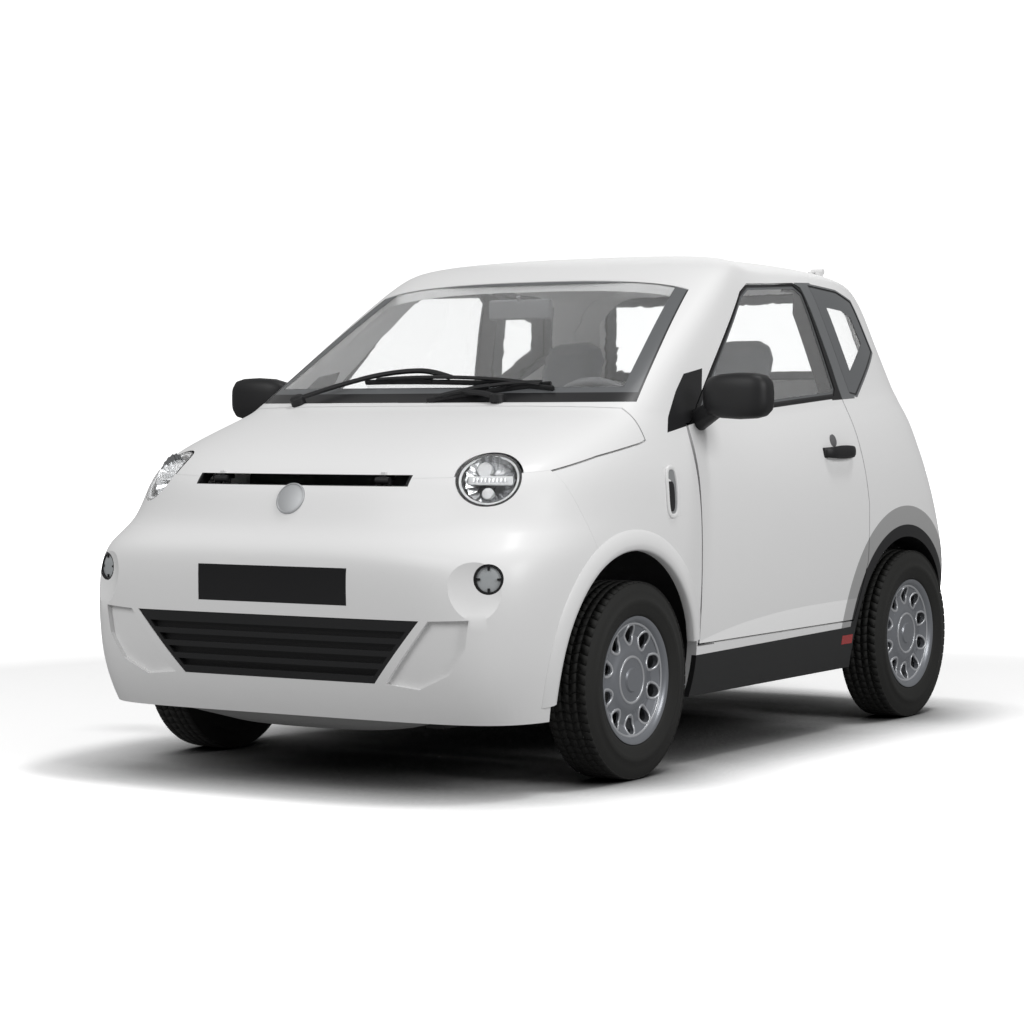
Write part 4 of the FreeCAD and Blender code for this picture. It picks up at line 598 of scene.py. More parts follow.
def makeHeadlamps(s):
    d, b, R, pale = s["darkRing"], s["bowlRadius"], s["radius"], s["paleIn"]
    deep, wall, play = s["deep"], s["wall"], s["play"]
    radii = [0.0, 0.02, 0.04, b, pale, d, R]
    turn, centre, level, lofted = lampSkin("headlamps", s, radii)
    bucket = lofted([(R, 0.0035), (R, deep), (0.0, deep), (0.0, deep - wall), (d, deep - wall), (d, 0.005)],
                    [(pale - play, 0.010), (pale - play, 0.030), (b, 0.030), (b, 0.012)])
    ring = lofted([(d - play, 0.006), (d - play, 0.014), (pale, 0.016), (pale, 0.009)])
    lens = lofted([(r, 0.0) for r in radii] + [(r, s["lens"]) for r in reversed(radii)])
    shares = [i / s["bowlSteps"] for i in range(s["bowlSteps"] + 1)]
    turned = [(b * f, level - s["bowlDrop"] - s["bowl"] * (1 - f ** 2)) for f in shares]
    bowl, bar, slats = bmesh.new(), bmesh.new(), bmesh.new()
    lathe(bowl, turned + [(r, w - wall) for r, w in reversed(turned)], turn, centre, s["bowlSides"], s["facets"])
    low, high = [level - drop for drop in s["barDrops"]]
    boxAt(bar, turn, centre, (-s["barReach"], -s["barHeight"] / 2, low), (s["barReach"], s["barHeight"] / 2, high),
          s["barBevel"])
    foot, edge, rim, top = [level - drop for drop in s["discDrops"]]
    for x, y, r in s["discs"]:
        lathe(bar, [(0.0, foot), (r, foot), (r, edge), (r * 0.9, rim), (0.0, top)], turn,
              centre + turn @ Vector((x, y, 0)), 32)
    low, high = [level - drop for drop in s["slatDrops"]]
    for k in range(s["slats"]):
        x = (k - s["slats"] // 2) * s["slatPitch"]
        boxAt(slats, turn, centre, (x - s["slatHalf"], -s["barHeight"] * 0.25, low),
              (x + s["slatHalf"], s["barHeight"] * 0.25, high), s["slatBevel"])
    settle(bucket, "headlamp_buckets", glossBlack, stands=("headlamps",), sharp=20, mirrored=True)
    for bm, name, finish in ((ring, "headlamp_rings", lampWhite), (bowl, "headlamp_reflectors", chrome),
                             (bar, "headlamp_bars", lampWhite), (slats, "headlamp_slats", chrome),
                             (lens, "headlamp_lenses", lensGlass)):
        settle(bm, name, finish, "body", "lamp_clear", (), 20, True)


def makeFogLamps(s):
    R, d, deep, wall = s["radius"], s["darkRing"], s["deep"], s["wall"]
    radii = [0.0, 0.012, 0.024, d, R]
    turn, centre, level, lofted = lampSkin("fog_lamps", s, radii)
    bucket = lofted([(R, 0.0004), (R, deep), (0.0, deep), (0.0, deep - wall), (d, deep - wall), (d, 0.001)])
    front, dish, back = s["lensDrops"]
    lens = lofted([(r, front + dish * (r / d) ** 2) for r in radii[:-1]] + [(r, back) for r in radii[-2::-1]])
    for k in range(4):
        quarter = turn @ Matrix.Rotation(math.radians(90 * k), 3, "Z")
        boxAt(bucket, quarter, centre, (d - s["notchLong"], -s["notch"] / 2, level - 0.012),
              (d - 0.0005, s["notch"] / 2, level - 0.001), 0.001)
    settle(bucket, "fog_lamp_rings", glossBlack, stands=("fog_lamps",), sharp=25, mirrored=True)
    settle(lens, "fog_lamp_lenses", fogGrey, "body", "lamp_clear", (), 25, True)


makeHeadlamps(headSet)
makeFogLamps(fogSet)
print("stage: lamps")


# tyres: a grooved carcass, and tread blocks set round it by geometry nodes
tyreSet = {"crown": 0.2663, "groove": 0.0032, "rows": 64, "segments": 128,
           "carcass": ((0.0520, 0.1645), (0.0550, 0.1720), (0.0615, 0.1765), (0.0635, 0.1800), (0.0680, 0.1960),
                       (0.0700, 0.2040), (0.0710, 0.2065), (0.0715, 0.2140), (0.0707, 0.2195), (0.0697, 0.2205),
                       (0.0680, 0.2360), (0.0650, 0.2475), (0.0615, 0.2545), (0.0590, 0.2621), (0.0300, 0.2639)),
           "blocks": ((-0.0610, -0.0362, 0.0026, -1), (-0.0342, -0.0130, 0.0003, 1), (-0.0112, 0.0112, 0.0, -1),
                      (0.0130, 0.0342, 0.0003, 1), (0.0362, 0.0610, 0.0026, -1)),  # from, to, fall, lean
           "blockLength": 0.0242, "skew": 0.0040, "taper": 0.94, "root": 0.002, "shoulder": 0.05, "fall": 0.0002}


def treadTree():
    g, gi, go = newGroup("treadRing", [("Row", "Geometry", None), ("Count", "Int", None),
                                       ("Material", "Material", None)], [("Geometry", "Geometry")],
                         "GeometryNodeTree")
    given = gi.outputs
    line = add(g, "GeometryNodeMeshLine", {"Offset": (0, 0, 0), "Count": given["Count"]})
    share = calc(g, "DIVIDE", add(g, "GeometryNodeInputIndex").outputs[0], given["Count"])
    turn = add(g, "CombineXYZ", {"X": calc(g, "MULTIPLY", share, 2 * math.pi)})
    spread = add(g, "GeometryNodeInstanceOnPoints", {"Points": line.outputs[0], "Instance": given["Row"],
                                                     "Rotation": turn.outputs[0]})
    real = add(g, "GeometryNodeRealizeInstances", {0: spread.outputs[0]})
    dress = add(g, "GeometryNodeSetMaterial", {"Geometry": real.outputs[0], "Material": given["Material"]})
    put(g, go.inputs[0], dress.outputs[0])
    return g


def bakedMesh(source, tree, values):
    o = addObject("treadSource", source)
    live = o.modifiers.new("tread", "NODES")
    live.node_group = tree
    for item in tree.interface.items_tree:
        if item.in_out == "INPUT" and item.name in values:
            live[item.identifier] = values[item.name]
    mesh = bpy.data.meshes.new_from_object(evaluated(o))
    bpy.data.objects.remove(o)
    return mesh


def treadRow(s):
    bm = bmesh.new()
    low, high = s["crown"] - s["groove"] - s["root"], s["crown"]
    half = s["blockLength"] / 2
    for x0, x1, drop, lean in s["blocks"]:
        foot, top = [], []
        for x, y in ((x0, -half), (x1, -half), (x1, half), (x0, half)):
            y += s["skew"] * lean * (1 if x == x1 else -1)
            fall = drop if abs(x) > s["shoulder"] else s["fall"]
            foot.append((x, y, low))
            top.append((x, y * s["taper"], high - fall))
        loopRings(bm, [foot, top], False)
    return meshFrom(bm, "treadRow", 30)


def makeTyres(s):
    tread = bakedMesh(treadRow(s), treadTree(), {"Count": s["rows"], "Material": rubber})
    profile = [(r, x) for x, r in s["carcass"]] + [(r, -x) for x, r in reversed(s["carcass"])]
    for name, sign, shift in wheelSpots:
        centre = Vector((sign * carSet["halfTrack"], carSet["frontAxle"] + shift, carSet["tyreRadius"]))
        bm = bmesh.new()
        lathe(bm, profile, axisFrame((1, 0, 0)), centre, s["segments"])
        settle(bm, "tyre_carcass_" + name, rubber, "wheel_" + name, "tyre", ("tyre_" + name,))
        blocks = tread.copy()
        blocks.transform(Matrix.Translation(centre) @ Matrix.Rotation(math.pi * (sign < 0), 4, "Z"))
        place(blocks, "tyre_tread_" + name, None, "wheel_" + name, "tyre")


makeTyres(tyreSet)
print("stage: tyres")


# round badge, left bare, on the nose
badgeSet = {"height": 0.760, "radius": 0.045, "thick": 0.006, "sink": 0.004}


def makeBadge(s):
    spot, normal = hit(skinTree("front_bumper"), (0, -2.5, s["height"]), (0, 1, 0))
    turn = axisFrame(-normal if normal.y > 0 else normal)
    R, k, sink = s["radius"], s["thick"], s["sink"]
    bm = bmesh.new()
    lathe(bm, [(0, -sink), (R - 0.001, -sink), (R, 0.0), (R - 0.001, k * 0.6), (R - 0.004, k * 0.8),
               (R - 0.006, k * 0.5), (R * 0.6, k * 0.85), (0, k)], turn, spot)
    settle(bm, "nose_badge", badgeGrey, "body", "wheel_silver", (), 30)


makeBadge(badgeSet)


# lips round the front wheel arches, ended short of the doors
lipSet = {"centre": (-0.769, 0.2765), "radius": 0.360, "proud": 0.010, "wide": 0.034, "inner": 0.022,
          "narrowest": 0.006, "doorEdge": -0.4076, "steps": 120, "from": -14, "sweep": 208,
          "lowest": (0.222, 0.345)}  # ahead of the wheel, behind it


def lipRing(tree, s, a):
    y, z = s["centre"]
    R, wide, inner, proud = s["radius"], s["wide"], s["inner"], s["proud"]
    if math.cos(a) > 0:
        wide = min(wide, (s["doorEdge"] - y) / math.cos(a) - R)
    if wide < s["narrowest"] or z + R * math.sin(a) < s["lowest"][math.cos(a) > 0]:
        return None
    ring = []
    for dr, out in ((-0.004, -0.028), (-inner, -0.018), (-inner, 0.002), (-inner * 0.75, proud * 0.8),
                    (-0.002, proud), (wide * 0.75, proud * 0.55), (wide, 0.0006), (wide, -0.010)):
        q = R + max(dr, 0.003)
        at = fromSide(tree, y + q * math.cos(a), z + q * math.sin(a))[0]
        if at is None or at.x < 0.6:
            return None
        ring.append(Vector((at.x + out, y + (R + dr) * math.cos(a), z + (R + dr) * math.sin(a))))
    return ring


def makeArchLips(s):
    shell = skinTree("body_shell", "front_bumper")
    rings = [lipRing(shell, s, math.radians(s["from"] + s["sweep"] * k / s["steps"]))
             for k in range(s["steps"] + 1)]
    settle(capped([ring for ring in rings if ring]), "arch_lips", lipPaint, "body", "body_white", (), 50, True)


makeArchLips(lipSet)
print("stage: badge and arch lips")


# door mirrors, handles and lock caps
mirrorSet = {"x": (0.728, 0.938), "y": -0.3531, "z": 1.0261, "halfDepth": 0.046, "halfHeight": 0.065, "power": 3.3,
             "rows": ((0.0, 0.30, 0.34, 0.25), (0.03, 0.52, 0.55, 0.18), (0.12, 0.80, 0.80, 0.08),
                      (0.30, 0.96, 0.95, 0.02), (0.55, 1.0, 1.0, 0.0), (0.78, 0.97, 0.97, 0.0),
                      (0.90, 0.88, 0.88, 0.02), (0.97, 0.68, 0.68, 0.06), (1.0, 0.40, 0.40, 0.10)),
             "glassInset": 0.004, "glassShift": 0.008, "glassHalf": (0.078, 0.048), "glassFaces": (-0.002, 0.0008)}
handleSet = {"y": (0.380, 0.575), "z": 0.8550, "half": 0.0205, "proud": 0.022, "thick": 0.0065, "steps": 24,
             "sides": 20, "footInset": 0.012, "foot": ((-0.008, -0.010, -0.009), (0.012, 0.010, 0.009)),
             "footBevel": 0.003, "lockY": 0.458, "lockZ": 0.890, "lockRadius": 0.019}


def makeMirrors(s):
    x0, x1 = s["x"]
    deep, tall = s["halfDepth"], s["halfHeight"]
    bm = capped([superRing(x0 + (x1 - x0) * f, s["y"] + dy * deep, s["z"], a * deep, b * tall, s["power"])
                 for f, a, b, dy in s["rows"]])
    foot = fromSide(skinTree("door_left"), s["y"] + 0.035, s["z"] - 0.070)[0]
    if foot is not None:
        root = foot + Vector((-0.008, 0, 0))
        tip = Vector((x0 + 0.05, s["y"] + 0.002, s["z"] - 0.030))
        loopRings(bm, [superRing(*root.lerp(tip, f), 0.034 - 0.010 * f, 0.036 - 0.008 * f, 2.6, 24)
                       for f in (0.0, 0.25, 0.5, 0.75, 1.0)], False)
    middle, back = 0.5 * (x0 + x1) + s["glassShift"], s["y"] + deep - s["glassInset"]
    wide, high = s["glassHalf"]
    glass = capped([[Vector((middle + wide * p.y, back + dy, s["z"] + high * p.z))
                     for p in superRing(0, 0, 0, 1, 1, 3.5, 48)] for dy in s["glassFaces"]])
    placePair(meshFrom(bm, "mirrorHousing", 60), "mirror_housing_", blackPlastic, "mirror_")
    placePair(meshFrom(glass, "mirrorGlass", 30), "mirror_pane_", chrome)


def makeHandles(s):
    tree = skinTree("door_left")
    rings = []
    y0, y1 = s["y"]
    for k in range(s["steps"] + 1):
        f = k / s["steps"]
        y = y0 + (y1 - y0) * f
        x = fromSide(tree, y, s["z"])[0].x + s["proud"] * (1 - abs(2 * f - 1) ** 6)
        half = s["half"] * (0.72 + 0.28 * math.sin(math.pi * f))
        rings.append([Vector((x + s["thick"] * math.cos(a), y, s["z"] + half * math.sin(a)))
                      for a in angles(s["sides"])])
    bm, lock = capped(rings), bmesh.new()
    for y in (y0 + s["footInset"], y1 - s["footInset"]):
        spot = Vector((fromSide(tree, y, s["z"])[0].x, y, s["z"]))
        boxAt(bm, Matrix.Identity(3), spot, *s["foot"], s["footBevel"])
    cap, n = fromSide(tree, s["lockY"], s["lockZ"])
    R = s["lockRadius"]
    lathe(lock, [(0, -0.003), (R, -0.003), (R, 0.003), (R * 0.8, 0.0045), (0, 0.0045)],
          axisFrame(n if n.x > 0 else -n), cap, 32)
    placePair(meshFrom(bm, "doorHandle", 40), "door_handle_", blackPlastic, "handle_")
    placePair(meshFrom(lock, "lockCap", 30), "lock_cap_", lockGrey)


makeMirrors(mirrorSet)
makeHandles(handleSet)
print("stage: mirrors and handles")


# wipers: arm, bow and blade laid over the screen
wiperSet = {"arms": (((-0.430, -0.693), (-0.330, -0.645), (-0.200, -0.597), (-0.060, -0.583), (0.060, -0.616)),
                     ((0.270, -0.705), (0.215, -0.690), (0.150, -0.680), (0.215, -0.655))),
            "blades": (((-0.245, -0.612), (0.410, -0.632)), ((0.040, -0.712), (0.390, -0.612))),
            "lift": (0.007, 0.020), "armSize": (0.017, 0.010), "bladeSize": (0.010, 0.013), "post": 0.022,
            "steps": 30, "bowSize": (0.012, 0.007), "bowEnd": 2, "bowFoot": 0.004, "bowRise": 0.013,
            "clawSize": (0.013, 0.005), "clawFoot": 0.005, "clawRise": 0.006, "claws": (4, 19), "clawSteps": 7,
            "section": ((1, -1), (1, 0.4), (0.5, 1), (-0.5, 1), (-1, 0.4), (-1, -1))}


def overScreen(tree, x, y, lift):
    at, n = hit(tree, (x, y, 1.6), (0, 0, -1))
    if n.z < 0:
        n = -n
    return at + n * lift, n


def ribbon(bm, found, size):  # found holds pairs of place and normal
    rings = []
    for i, (spot, n) in enumerate(found):
        ahead = found[min(i + 1, len(found) - 1)][0] - found[max(i - 1, 0)][0]
        side = ahead.cross(n).normalized() * size[0] / 2
        up = n * size[1] / 2
        rings.append([spot + side * c + up * k for c, k in wiperSet["section"]])
    loopRings(bm, rings, False)


def smoothPath(points, steps):
    out = []
    ends = [points[0], *points, points[-1]]
    for four in zip(ends, ends[1:], ends[2:], ends[3:]):
        for k in range(steps):
            t = k / steps
            out.append(tuple(0.5 * (2 * b + (c - a) * t + (2 * a - 5 * b + 4 * c - d) * t * t
                                    + (3 * b - a - 3 * c + d) * t ** 3) for a, b, c, d in zip(*four)))
    return out + [points[-1]]


def makeWipers(s):
    tree = skinTree("windscreen", "body_shell")
    bm = bmesh.new()
    low, high = s["lift"]
    post, steps = s["post"], s["steps"]
    for arm in s["arms"]:
        ribbon(bm, [overScreen(tree, x, y, high) for x, y in smoothPath(arm, 8)], s["armSize"])
        spot, n = overScreen(tree, *arm[0], 0)
        lathe(bm, [(0, 0.001), (post, 0.001), (post, high + 0.001), (post * 0.7, high + 0.006), (0, high + 0.007)],
              axisFrame(n, (0, 1, 0)), spot, 24)
    for a, b in s["blades"]:
        path = [[p + (q - p) * k / steps for p, q in zip(a, b)] for k in range(steps + 1)]
        ribbon(bm, [overScreen(tree, x, y, low) for x, y in path], s["bladeSize"])
        bow = [(k, s["bowFoot"] + s["bowRise"] * math.sin(math.pi * k / steps) ** 0.7)
               for k in range(s["bowEnd"], steps + 1 - s["bowEnd"])]
        ribbon(bm, [overScreen(tree, *path[k], low + rise) for k, rise in bow], s["bowSize"])
        for start in s["claws"]:
            claw = [(start + k, s["clawFoot"] + s["clawRise"] * math.sin(math.pi * k / s["clawSteps"]))
                    for k in range(s["clawSteps"] + 1)]
            ribbon(bm, [overScreen(tree, *path[k], low + rise) for k, rise in claw], s["clawSize"])
    settle(bm, "wiper_arms", blackPlastic, stands=("wipers",))


makeWipers(wiperSet)
print("stage: wipers")


# raised edges round the wheel cover's openings, and two rings
edgeSet = {"count": 10, "at": 0.122, "long": 0.0280, "wide": 0.0215, "egg": 0.12, "tube": 0.0042, "flat": 0.8,
           "steps": 30, "rings": (0.062, 0.152), "ringSteps": 60, "sink": 0.0005, "face": 0.02,
           "inward": 0.002, "inmost": 0.02}


def makeCoverEdges(s):
    y, z, face = carSet["frontAxle"], carSet["tyreRadius"], carSet["halfTrack"] + s["face"]
    tree = skinTree("wheel_front_left")
    bm = bmesh.new()

    def onCover(py, pz):  # where the ray falls through an opening, the cover's level further in
        whole = math.hypot(py, pz)
        at, r = fromSide(tree, y + py, z + pz)[0], whole
        while (at is None or at.x < face) and r > s["inmost"]:
            r -= s["inward"]
            at = fromSide(tree, y + py * r / whole, z + pz * r / whole)[0]
        return Vector((at.x - s["sink"], y + py, z + pz))

    for k in range(s["count"]):
        turn = 2 * math.pi * (k + 0.5) / s["count"]
        c, n = math.cos(turn), math.sin(turn)
        spots = []
        for a in angles(s["steps"]):
            u = s["at"] + s["long"] * math.cos(a)
            v = s["wide"] * math.sin(a) * (1 + s["egg"] * math.cos(a))
            spots.append(onCover(u * c - v * n, u * n + v * c))
        tubeLoop(bm, spots, s["tube"], s["flat"])
    for r in s["rings"]:
        spots = [onCover(r * math.cos(a), r * math.sin(a)) for a in angles(s["ringSteps"])]
        tubeLoop(bm, spots, s["tube"], s["flat"])
    mesh = meshFrom(bm, "coverEdges", 60)
    for name, sign, shift in wheelSpots:
        own = mesh.copy() if sign > 0 else flipped(mesh)
        own.transform(Matrix.Translation((0, shift, 0)))
        place(own, "cover_edges_" + name, coverEdge, "wheel_" + name, "wheel_silver")


makeCoverEdges(edgeSet)
print("stage: wheel covers")


# rounded frame, plate and mouth of the side scoops
scoopSet = {"y": -0.556, "z": 0.765, "halfWide": 0.027, "halfTall": 0.066, "tube": 0.0065, "flat": 0.7,
            "power": 3.2, "lean": 0.06, "proud": 0.001, "sink": 0.003,
            "plates": (("scoop_plates", scoopGrey, (0.98, 0.98), (0, 0), 0.0016),
                       ("scoop_mouths", blackPlastic, (0.60, 0.62), (-0.008, -0.012), 0.0030))}


def makeScoops(s):
    tree = skinTree("body_shell", "side_scoops")

    def outlineAt(shares, shift, out, count):
        spots = []
        for p in superRing(0, 0, 0, s["halfWide"] * shares[0], s["halfTall"] * shares[1], s["power"], count):
            py, pz = p.y + shift[0], p.z + shift[1]
            at = fromSide(tree, s["y"] + py + s["lean"] * pz, s["z"] + pz)[0]
            spots.append(at + Vector((out, 0, 0)))
        return spots

    frame = bmesh.new()
    tubeLoop(frame, outlineAt((1, 1), (0, 0), s["proud"], 56), s["tube"], s["flat"])
    settle(frame, "scoop_frames", paint, mirrored=True)
    for name, finish, shares, shift, out in s["plates"]:
        plate = capped([outlineAt(shares, shift, level, 48) for level in (-s["sink"], out)])
        settle(plate, name, finish, mirrored=True)


makeScoops(scoopSet)


# undertray below the nose
traySet = {"halfWide": 0.50, "rows": ((-1.300, 0.198, 1.0), (-1.275, 0.168, 0.94), (-1.220, 0.146, 0.86),
                                      (-1.120, 0.142, 0.80)),  # y, z, share of the width
           "thick": 0.004, "columns": 24, "rim": 0.192, "bow": 0.05}


def makeTray(s):
    rings = []
    for y, z, share in s["rows"]:
        low = []
        for k in range(s["columns"] + 1):
            u = 2 * k / s["columns"] - 1
            low.append(Vector((s["halfWide"] * share * u, y + s["bow"] * u * u, z + (s["rim"] - z) * abs(u) ** 4)))
        rings.append(low + [p + Vector((0, 0, s["thick"])) for p in low[::-1]])
    settle(capped(rings), "undertray", trayGrey)


makeTray(traySet)


# trim of the tail, laid on the skin: plate panel, pull, reflectors, lower panel
tailSet = {"shares": (0.01, 0.25, 0.5, 0.75, 0.92, 1.0), "sink": 0.003, "clear": 0.0004, "patches": (
    ("rear_plate_panel", "tailgate", glossBlack, (0.0, 0.775), (0.250, 0.060), 9.0, 0.004, "plate_blank"),
    ("hatch_pull", "tailgate", blackPlastic, (0.0, 0.865), (0.080, 0.014), 4.0, 0.011, "dark_trim"),
    ("rear_reflectors", "body", redLens, (0.430, 0.330), (0.060, 0.013), 4.0, 0.003, "lamp_red"),
    ("rear_lower_panel", "body", blackPlastic, (0.0, 0.252), (0.380, 0.044), 6.0, 0.003, "dark_trim"))}


def makeTail(s):
    tree = skinTree("tailgate", "rear_bumper")
    rearmost = cadBox[1][1] - s["clear"]
    for name, body, finish, spot, half, power, proud, slot in s["patches"]:
        rings = []
        for level, shares in ((-s["sink"], s["shares"]), (proud, s["shares"][::-1])):
            for share in shares:
                ring = []
                for p in superRing(0, 0, 0, half[0] * share, half[1] * share, power, 64):
                    at = hit(tree, (spot[0] + p.y, 3, spot[1] + p.z), (0, -1, 0))[0]
                    ring.append(Vector((at.x, min(at.y + level, rearmost), at.z)))
                rings.append(ring)
        settle(capped(rings), name, finish, body, slot, mirrored=spot[0] > 0)


makeTail(tailSet)
print("stage: scoops, undertray and tail trim")


# seats: padded cushion and back, blown up as cloth, then sewn
seatSet = {"x": 0.310, "front": -0.061, "top": 0.500, "halfWidth": 0.205, "depth": 0.455, "inset": 0.006,
           "cushionThick": 0.045, "backThick": 0.042, "backGap": 0.055, "backHeight": 0.735, "headrest": 0.122,
           "rake": math.radians(16),
           "cushionRows": ((0.0, 0.30, 0.070, 0.45), (0.03, 0.75, 0.062, 0.70), (0.10, 0.95, 0.054, 0.95),
                           (0.30, 1.0, 0.056, 1.0), (0.60, 1.0, 0.060, 1.0), (0.88, 0.99, 0.056, 1.0),
                           (0.97, 0.92, 0.054, 0.9), (1.0, 0.70, 0.054, 0.6)),
           "backRows": ((0.010, 0.80, 0.55), (0.030, 0.95, 0.85), (0.10, 0.99, 1.0), (0.30, 1.0, 1.0),
                        (0.50, 0.98, 0.95), (0.60, 0.92, 0.88), (0.680, 0.74, 0.80)),
           "headRows": ((0.725, 1.0, 0.02, 0.74), (0.80, 1.0, 0, 0.74), (0.92, 0.97, 0, 0.66),
                        (0.975, 0.80, 0, 0.48), (1.0, 0.5, 0, 0.25)),
           "voxel": 0.008, "pressure": 4.0, "frames": 14, "cap": 0.012,
           "grooveDepth": 0.005, "grooveWidth": 0.006, "panel": 0.118, "piping": 0.060, "shoulder": 0.50,
           "cushionSeams": (0.16, 0.31), "backSeams": (0.16, 0.33),
           "weave": 150, "weaveDepth": 0.0008, "dark": (0.075, 0.08, 0.088, 1), "pale": (0.20, 0.21, 0.23, 1)}


def clothMaterial(s):
    m, t, p = newMaterial("seatCloth", Roughness=0.85, Sheen_Weight=0.35, Specular_IOR_Level=0.2)
    place = objectPlace(t)
    waves = [add(t, "TexWave", {"Vector": place, "Scale": s["weave"], "Distortion": 0.6},
                 bands_direction=direction).outputs["Fac"] for direction in "XYZ"]
    weave = calc(t, "MULTIPLY", calc(t, "ADD", waves[0], waves[1]), calc(t, "ADD", waves[2], 0.4))
    noise = add(t, "TexNoise", {"Vector": place, "Scale": 9, "Detail": 6}).outputs["Fac"]
    tone = calc(t, "MULTIPLY_ADD", weave, 0.22, calc(t, "MULTIPLY", noise, 0.6))
    put(t, p.inputs["Base Color"], mixColour(t, tone, s["dark"], s["pale"]))
    bump = add(t, "Bump", {"Strength": 0.5, "Distance": s["weaveDepth"], "Height": weave})
    put(t, p.inputs["Normal"], bump.outputs[0])
    return m


def cushionRings(s):
    rings = []
    for f, wide, drop, tall in s["cushionRows"]:
        y = s["front"] + s["inset"] + (s["depth"] - 2 * s["inset"]) * f
        rings.append([Vector((p.y, y, p.z)) for p in
                      superRing(0, 0, s["top"] - drop, (s["halfWidth"] - s["inset"]) * wide,
                                s["cushionThick"] * tall, 5.0, 48)])
    return rings


def backRings(s):
    head = s["headrest"] / s["halfWidth"]
    rings = []
    for f, wide, thick in s["backRows"] + tuple((f, head * share + more, k) for f, share, more, k in s["headRows"]):
        h = s["backHeight"] * f
        z = s["top"] + h * math.cos(s["rake"]) + s["inset"]
        y = s["front"] + s["depth"] + s["backGap"] + h * math.sin(s["rake"])
        rings.append([Vector((p.y, y + p.z, z)) for p in
                      superRing(0, 0, 0, (s["halfWidth"] - s["inset"]) * wide, s["backThick"] * thick, 3.6, 48)])
    return rings


def cushionSeams(p, s):  # distances from each seam
    across = [p.y - s["front"] - run if abs(p.x) < s["panel"] else 1 for run in s["cushionSeams"]]
    return [abs(p.x) - s["panel"], p.z - s["top"] + s["piping"], *across]


def backSeams(p, s):
    rise = p.z - s["top"]
    across = [rise - height if abs(p.x) < s["panel"] else 1 for height in s["backSeams"]]
    return [abs(p.x) - s["panel"] if rise < s["shoulder"] else 1, rise - s["shoulder"], *across]


def blowUp(o, s):
    cloth = o.modifiers.new("cloth", "CLOTH")
    cloth.settings.use_pressure = True
    cloth.settings.uniform_pressure_force = s["pressure"]
    cloth.settings.effector_weights.gravity = 0
    cloth.point_cache.frame_start = 1
    cloth.point_cache.frame_end = s["frames"]
    for f in range(1, s["frames"] + 1):
        bpy.context.scene.frame_set(f)
    blown = [v.co.copy() for v in evaluated(o).data.vertices]
    o.modifiers.clear()
    bpy.context.scene.frame_set(1)
    for v, b in zip(o.data.vertices, blown):
        move = b - v.co
        v.co += move * min(1, s["cap"] / max(move.length, s["cap"]))


def padMesh(rings, s, seams):
    bm = capped(rings)
    bmesh.ops.recalc_face_normals(bm, faces=bm.faces)
    mesh = bpy.data.meshes.new("pad")
    bm.to_mesh(mesh)
    bm.free()
    o = addObject("pad", mesh)
    remesh = o.modifiers.new("remesh", "REMESH")
    remesh.mode = "VOXEL"
    remesh.voxel_size = s["voxel"]
    o.data = bpy.data.meshes.new_from_object(evaluated(o))
    o.modifiers.clear()
    blowUp(o, s)
    smooth = o.modifiers.new("soften", "SUBSURF")
    smooth.levels = smooth.render_levels = 1
    final = bpy.data.meshes.new_from_object(evaluated(o))
    bpy.data.objects.remove(o)
    normals = [v.normal.copy() for v in final.vertices]
    for v, n in zip(final.vertices, normals):
        near = min(abs(distance) for distance in seams(v.co, s))
        v.co -= n * s["grooveDepth"] * math.exp(-(near / s["grooveWidth"]) ** 2)
    final.polygons.foreach_set("use_smooth", [True] * len(final.polygons))
    return final


def makeSeats(s):
    cloth = clothMaterial(s)
    cushion = padMesh(cushionRings(s), s, cushionSeams)
    back = padMesh(backRings(s), s, backSeams)
    for side, sign in (("left", 1), ("right", -1)):
        for mesh, kind, stands in ((cushion, "cushion", ("seat_" + side,)), (back, "back", ())):
            own = mesh.copy()
            own.transform(Matrix.Translation((sign * s["x"], 0, 0)))
            o = place(own, "seat_%s_%s" % (kind, side), cloth, "body", "seat_cloth", stands)


makeSeats(seatSet)
print("stage: seats")
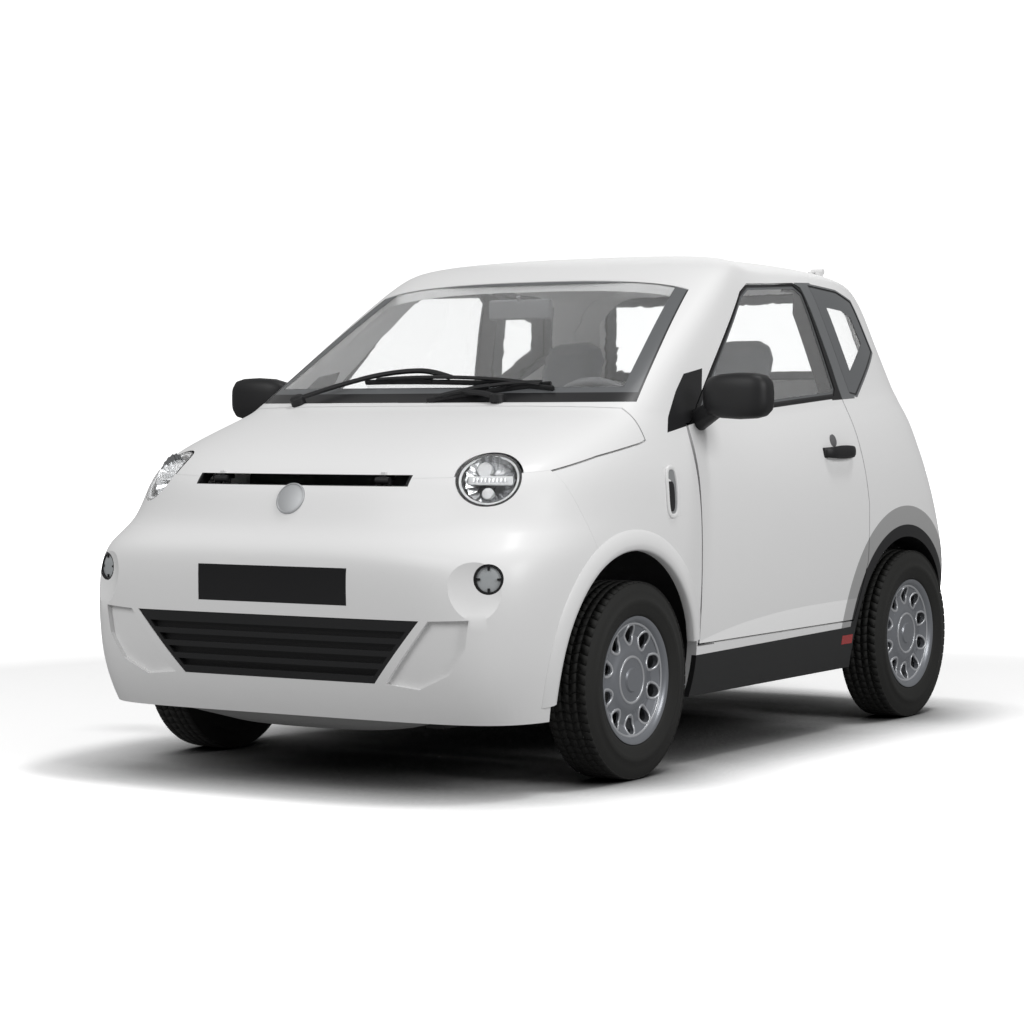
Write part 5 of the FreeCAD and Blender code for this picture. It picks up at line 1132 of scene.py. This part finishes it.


# floor, backdrop and lamps; the floor's colour as the camera sees it is darkened by ambient occlusion, a painted
# contact shadow under the car
# contact and paintedShadowPower set the reach and depth of the painted contact shadow on the floor
studioSet = {"floorSize": 60.0, "floorColour": 0.30, "floorNear": 1.3, "floorFar": 5.0, "reach": (3.0, 9.0),
             "paintedShadowReach": 0.36, "paintedShadowPower": 2.3, "seenWorld": 1.2, "worldStrength": 0.30, "lamps": (
                 ("top", (3.0, 1.5, 12.0), (0.0, 0.0, 0.3), 380, 2.0),
                 ("key", (8.0, -1.5, 4.0), (0.0, 0.0, 0.6), 300, 3.0),
                 ("nose", (-2.0, -8.5, 6.5), (0.0, -0.8, 0.5), 415, 5.0),
                 ("back", (-3.5, 8.0, 4.0), (0.0, 0.8, 0.6), 60, 4.0))}


def seenRays(tree):
    path = add(tree, "LightPath").outputs
    return calc(tree, "MAXIMUM", path["Is Camera Ray"], path["Is Transmission Ray"])


def makeFloor(s):
    h = s["floorSize"] / 2
    mesh = bpy.data.meshes.new("floor")
    mesh.from_pydata([(-h, -h, 0), (h, -h, 0), (h, h, 0), (-h, h, 0)], [], [(0, 1, 2, 3)])
    m, t, p = newMaterial("paleFloor", Roughness=0.9, Specular_IOR_Level=0.0)
    seen = seenRays(t)
    reach = add(t, "VectorMath", {0: objectPlace(t)}, operation="LENGTH").outputs["Value"]
    ramp = add(t, "MapRange", {"Value": reach, "From Min": s["reach"][0], "From Max": s["reach"][1],
                                         "To Min": s["floorNear"], "To Max": s["floorFar"]})
    # ambient occlusion darkens the seen floor colour: a painted contact shadow round and under the car
    shade = add(t, "AmbientOcclusion", {"Distance": s["paintedShadowReach"]}, samples=8)
    dark = calc(t, "POWER", shade.outputs["AO"], s["paintedShadowPower"])
    seenWithPaintedShadow = calc(t, "MULTIPLY", calc(t, "MULTIPLY", ramp.outputs[0], dark), seen)
    rest = calc(t, "MULTIPLY", calc(t, "SUBTRACT", 1.0, seen), s["floorColour"])
    put(t, p.inputs["Base Color"], calc(t, "ADD", seenWithPaintedShadow, rest))
    mesh.materials.append(m)
    addObject("floor", mesh)


def makeLight(s):
    world = bpy.data.worlds.new("studio")
    bpy.context.scene.world = world
    world.use_nodes = True
    t, dim = world.node_tree, s["worldStrength"]
    back = t.nodes["Background"].inputs
    back["Color"].default_value = (1, 1, 1, 1)
    put(t, back["Strength"], calc(t, "MULTIPLY_ADD", seenRays(t), s["seenWorld"] - dim, dim))
    for label, spot, aim, power, size in s["lamps"]:
        lamp = bpy.data.lights.new(label, "AREA")
        lamp.energy = power
        lamp.size = size
        o = addObject(label, lamp)
        o.location = spot
        o.rotation_mode = "QUATERNION"
        o.rotation_quaternion = (Vector(aim) - Vector(spot)).to_track_quat("-Z", "Y")


makeFloor(studioSet)
makeLight(studioSet)
bpy.context.scene.view_settings.view_transform = "Standard"
print("stage: studio")
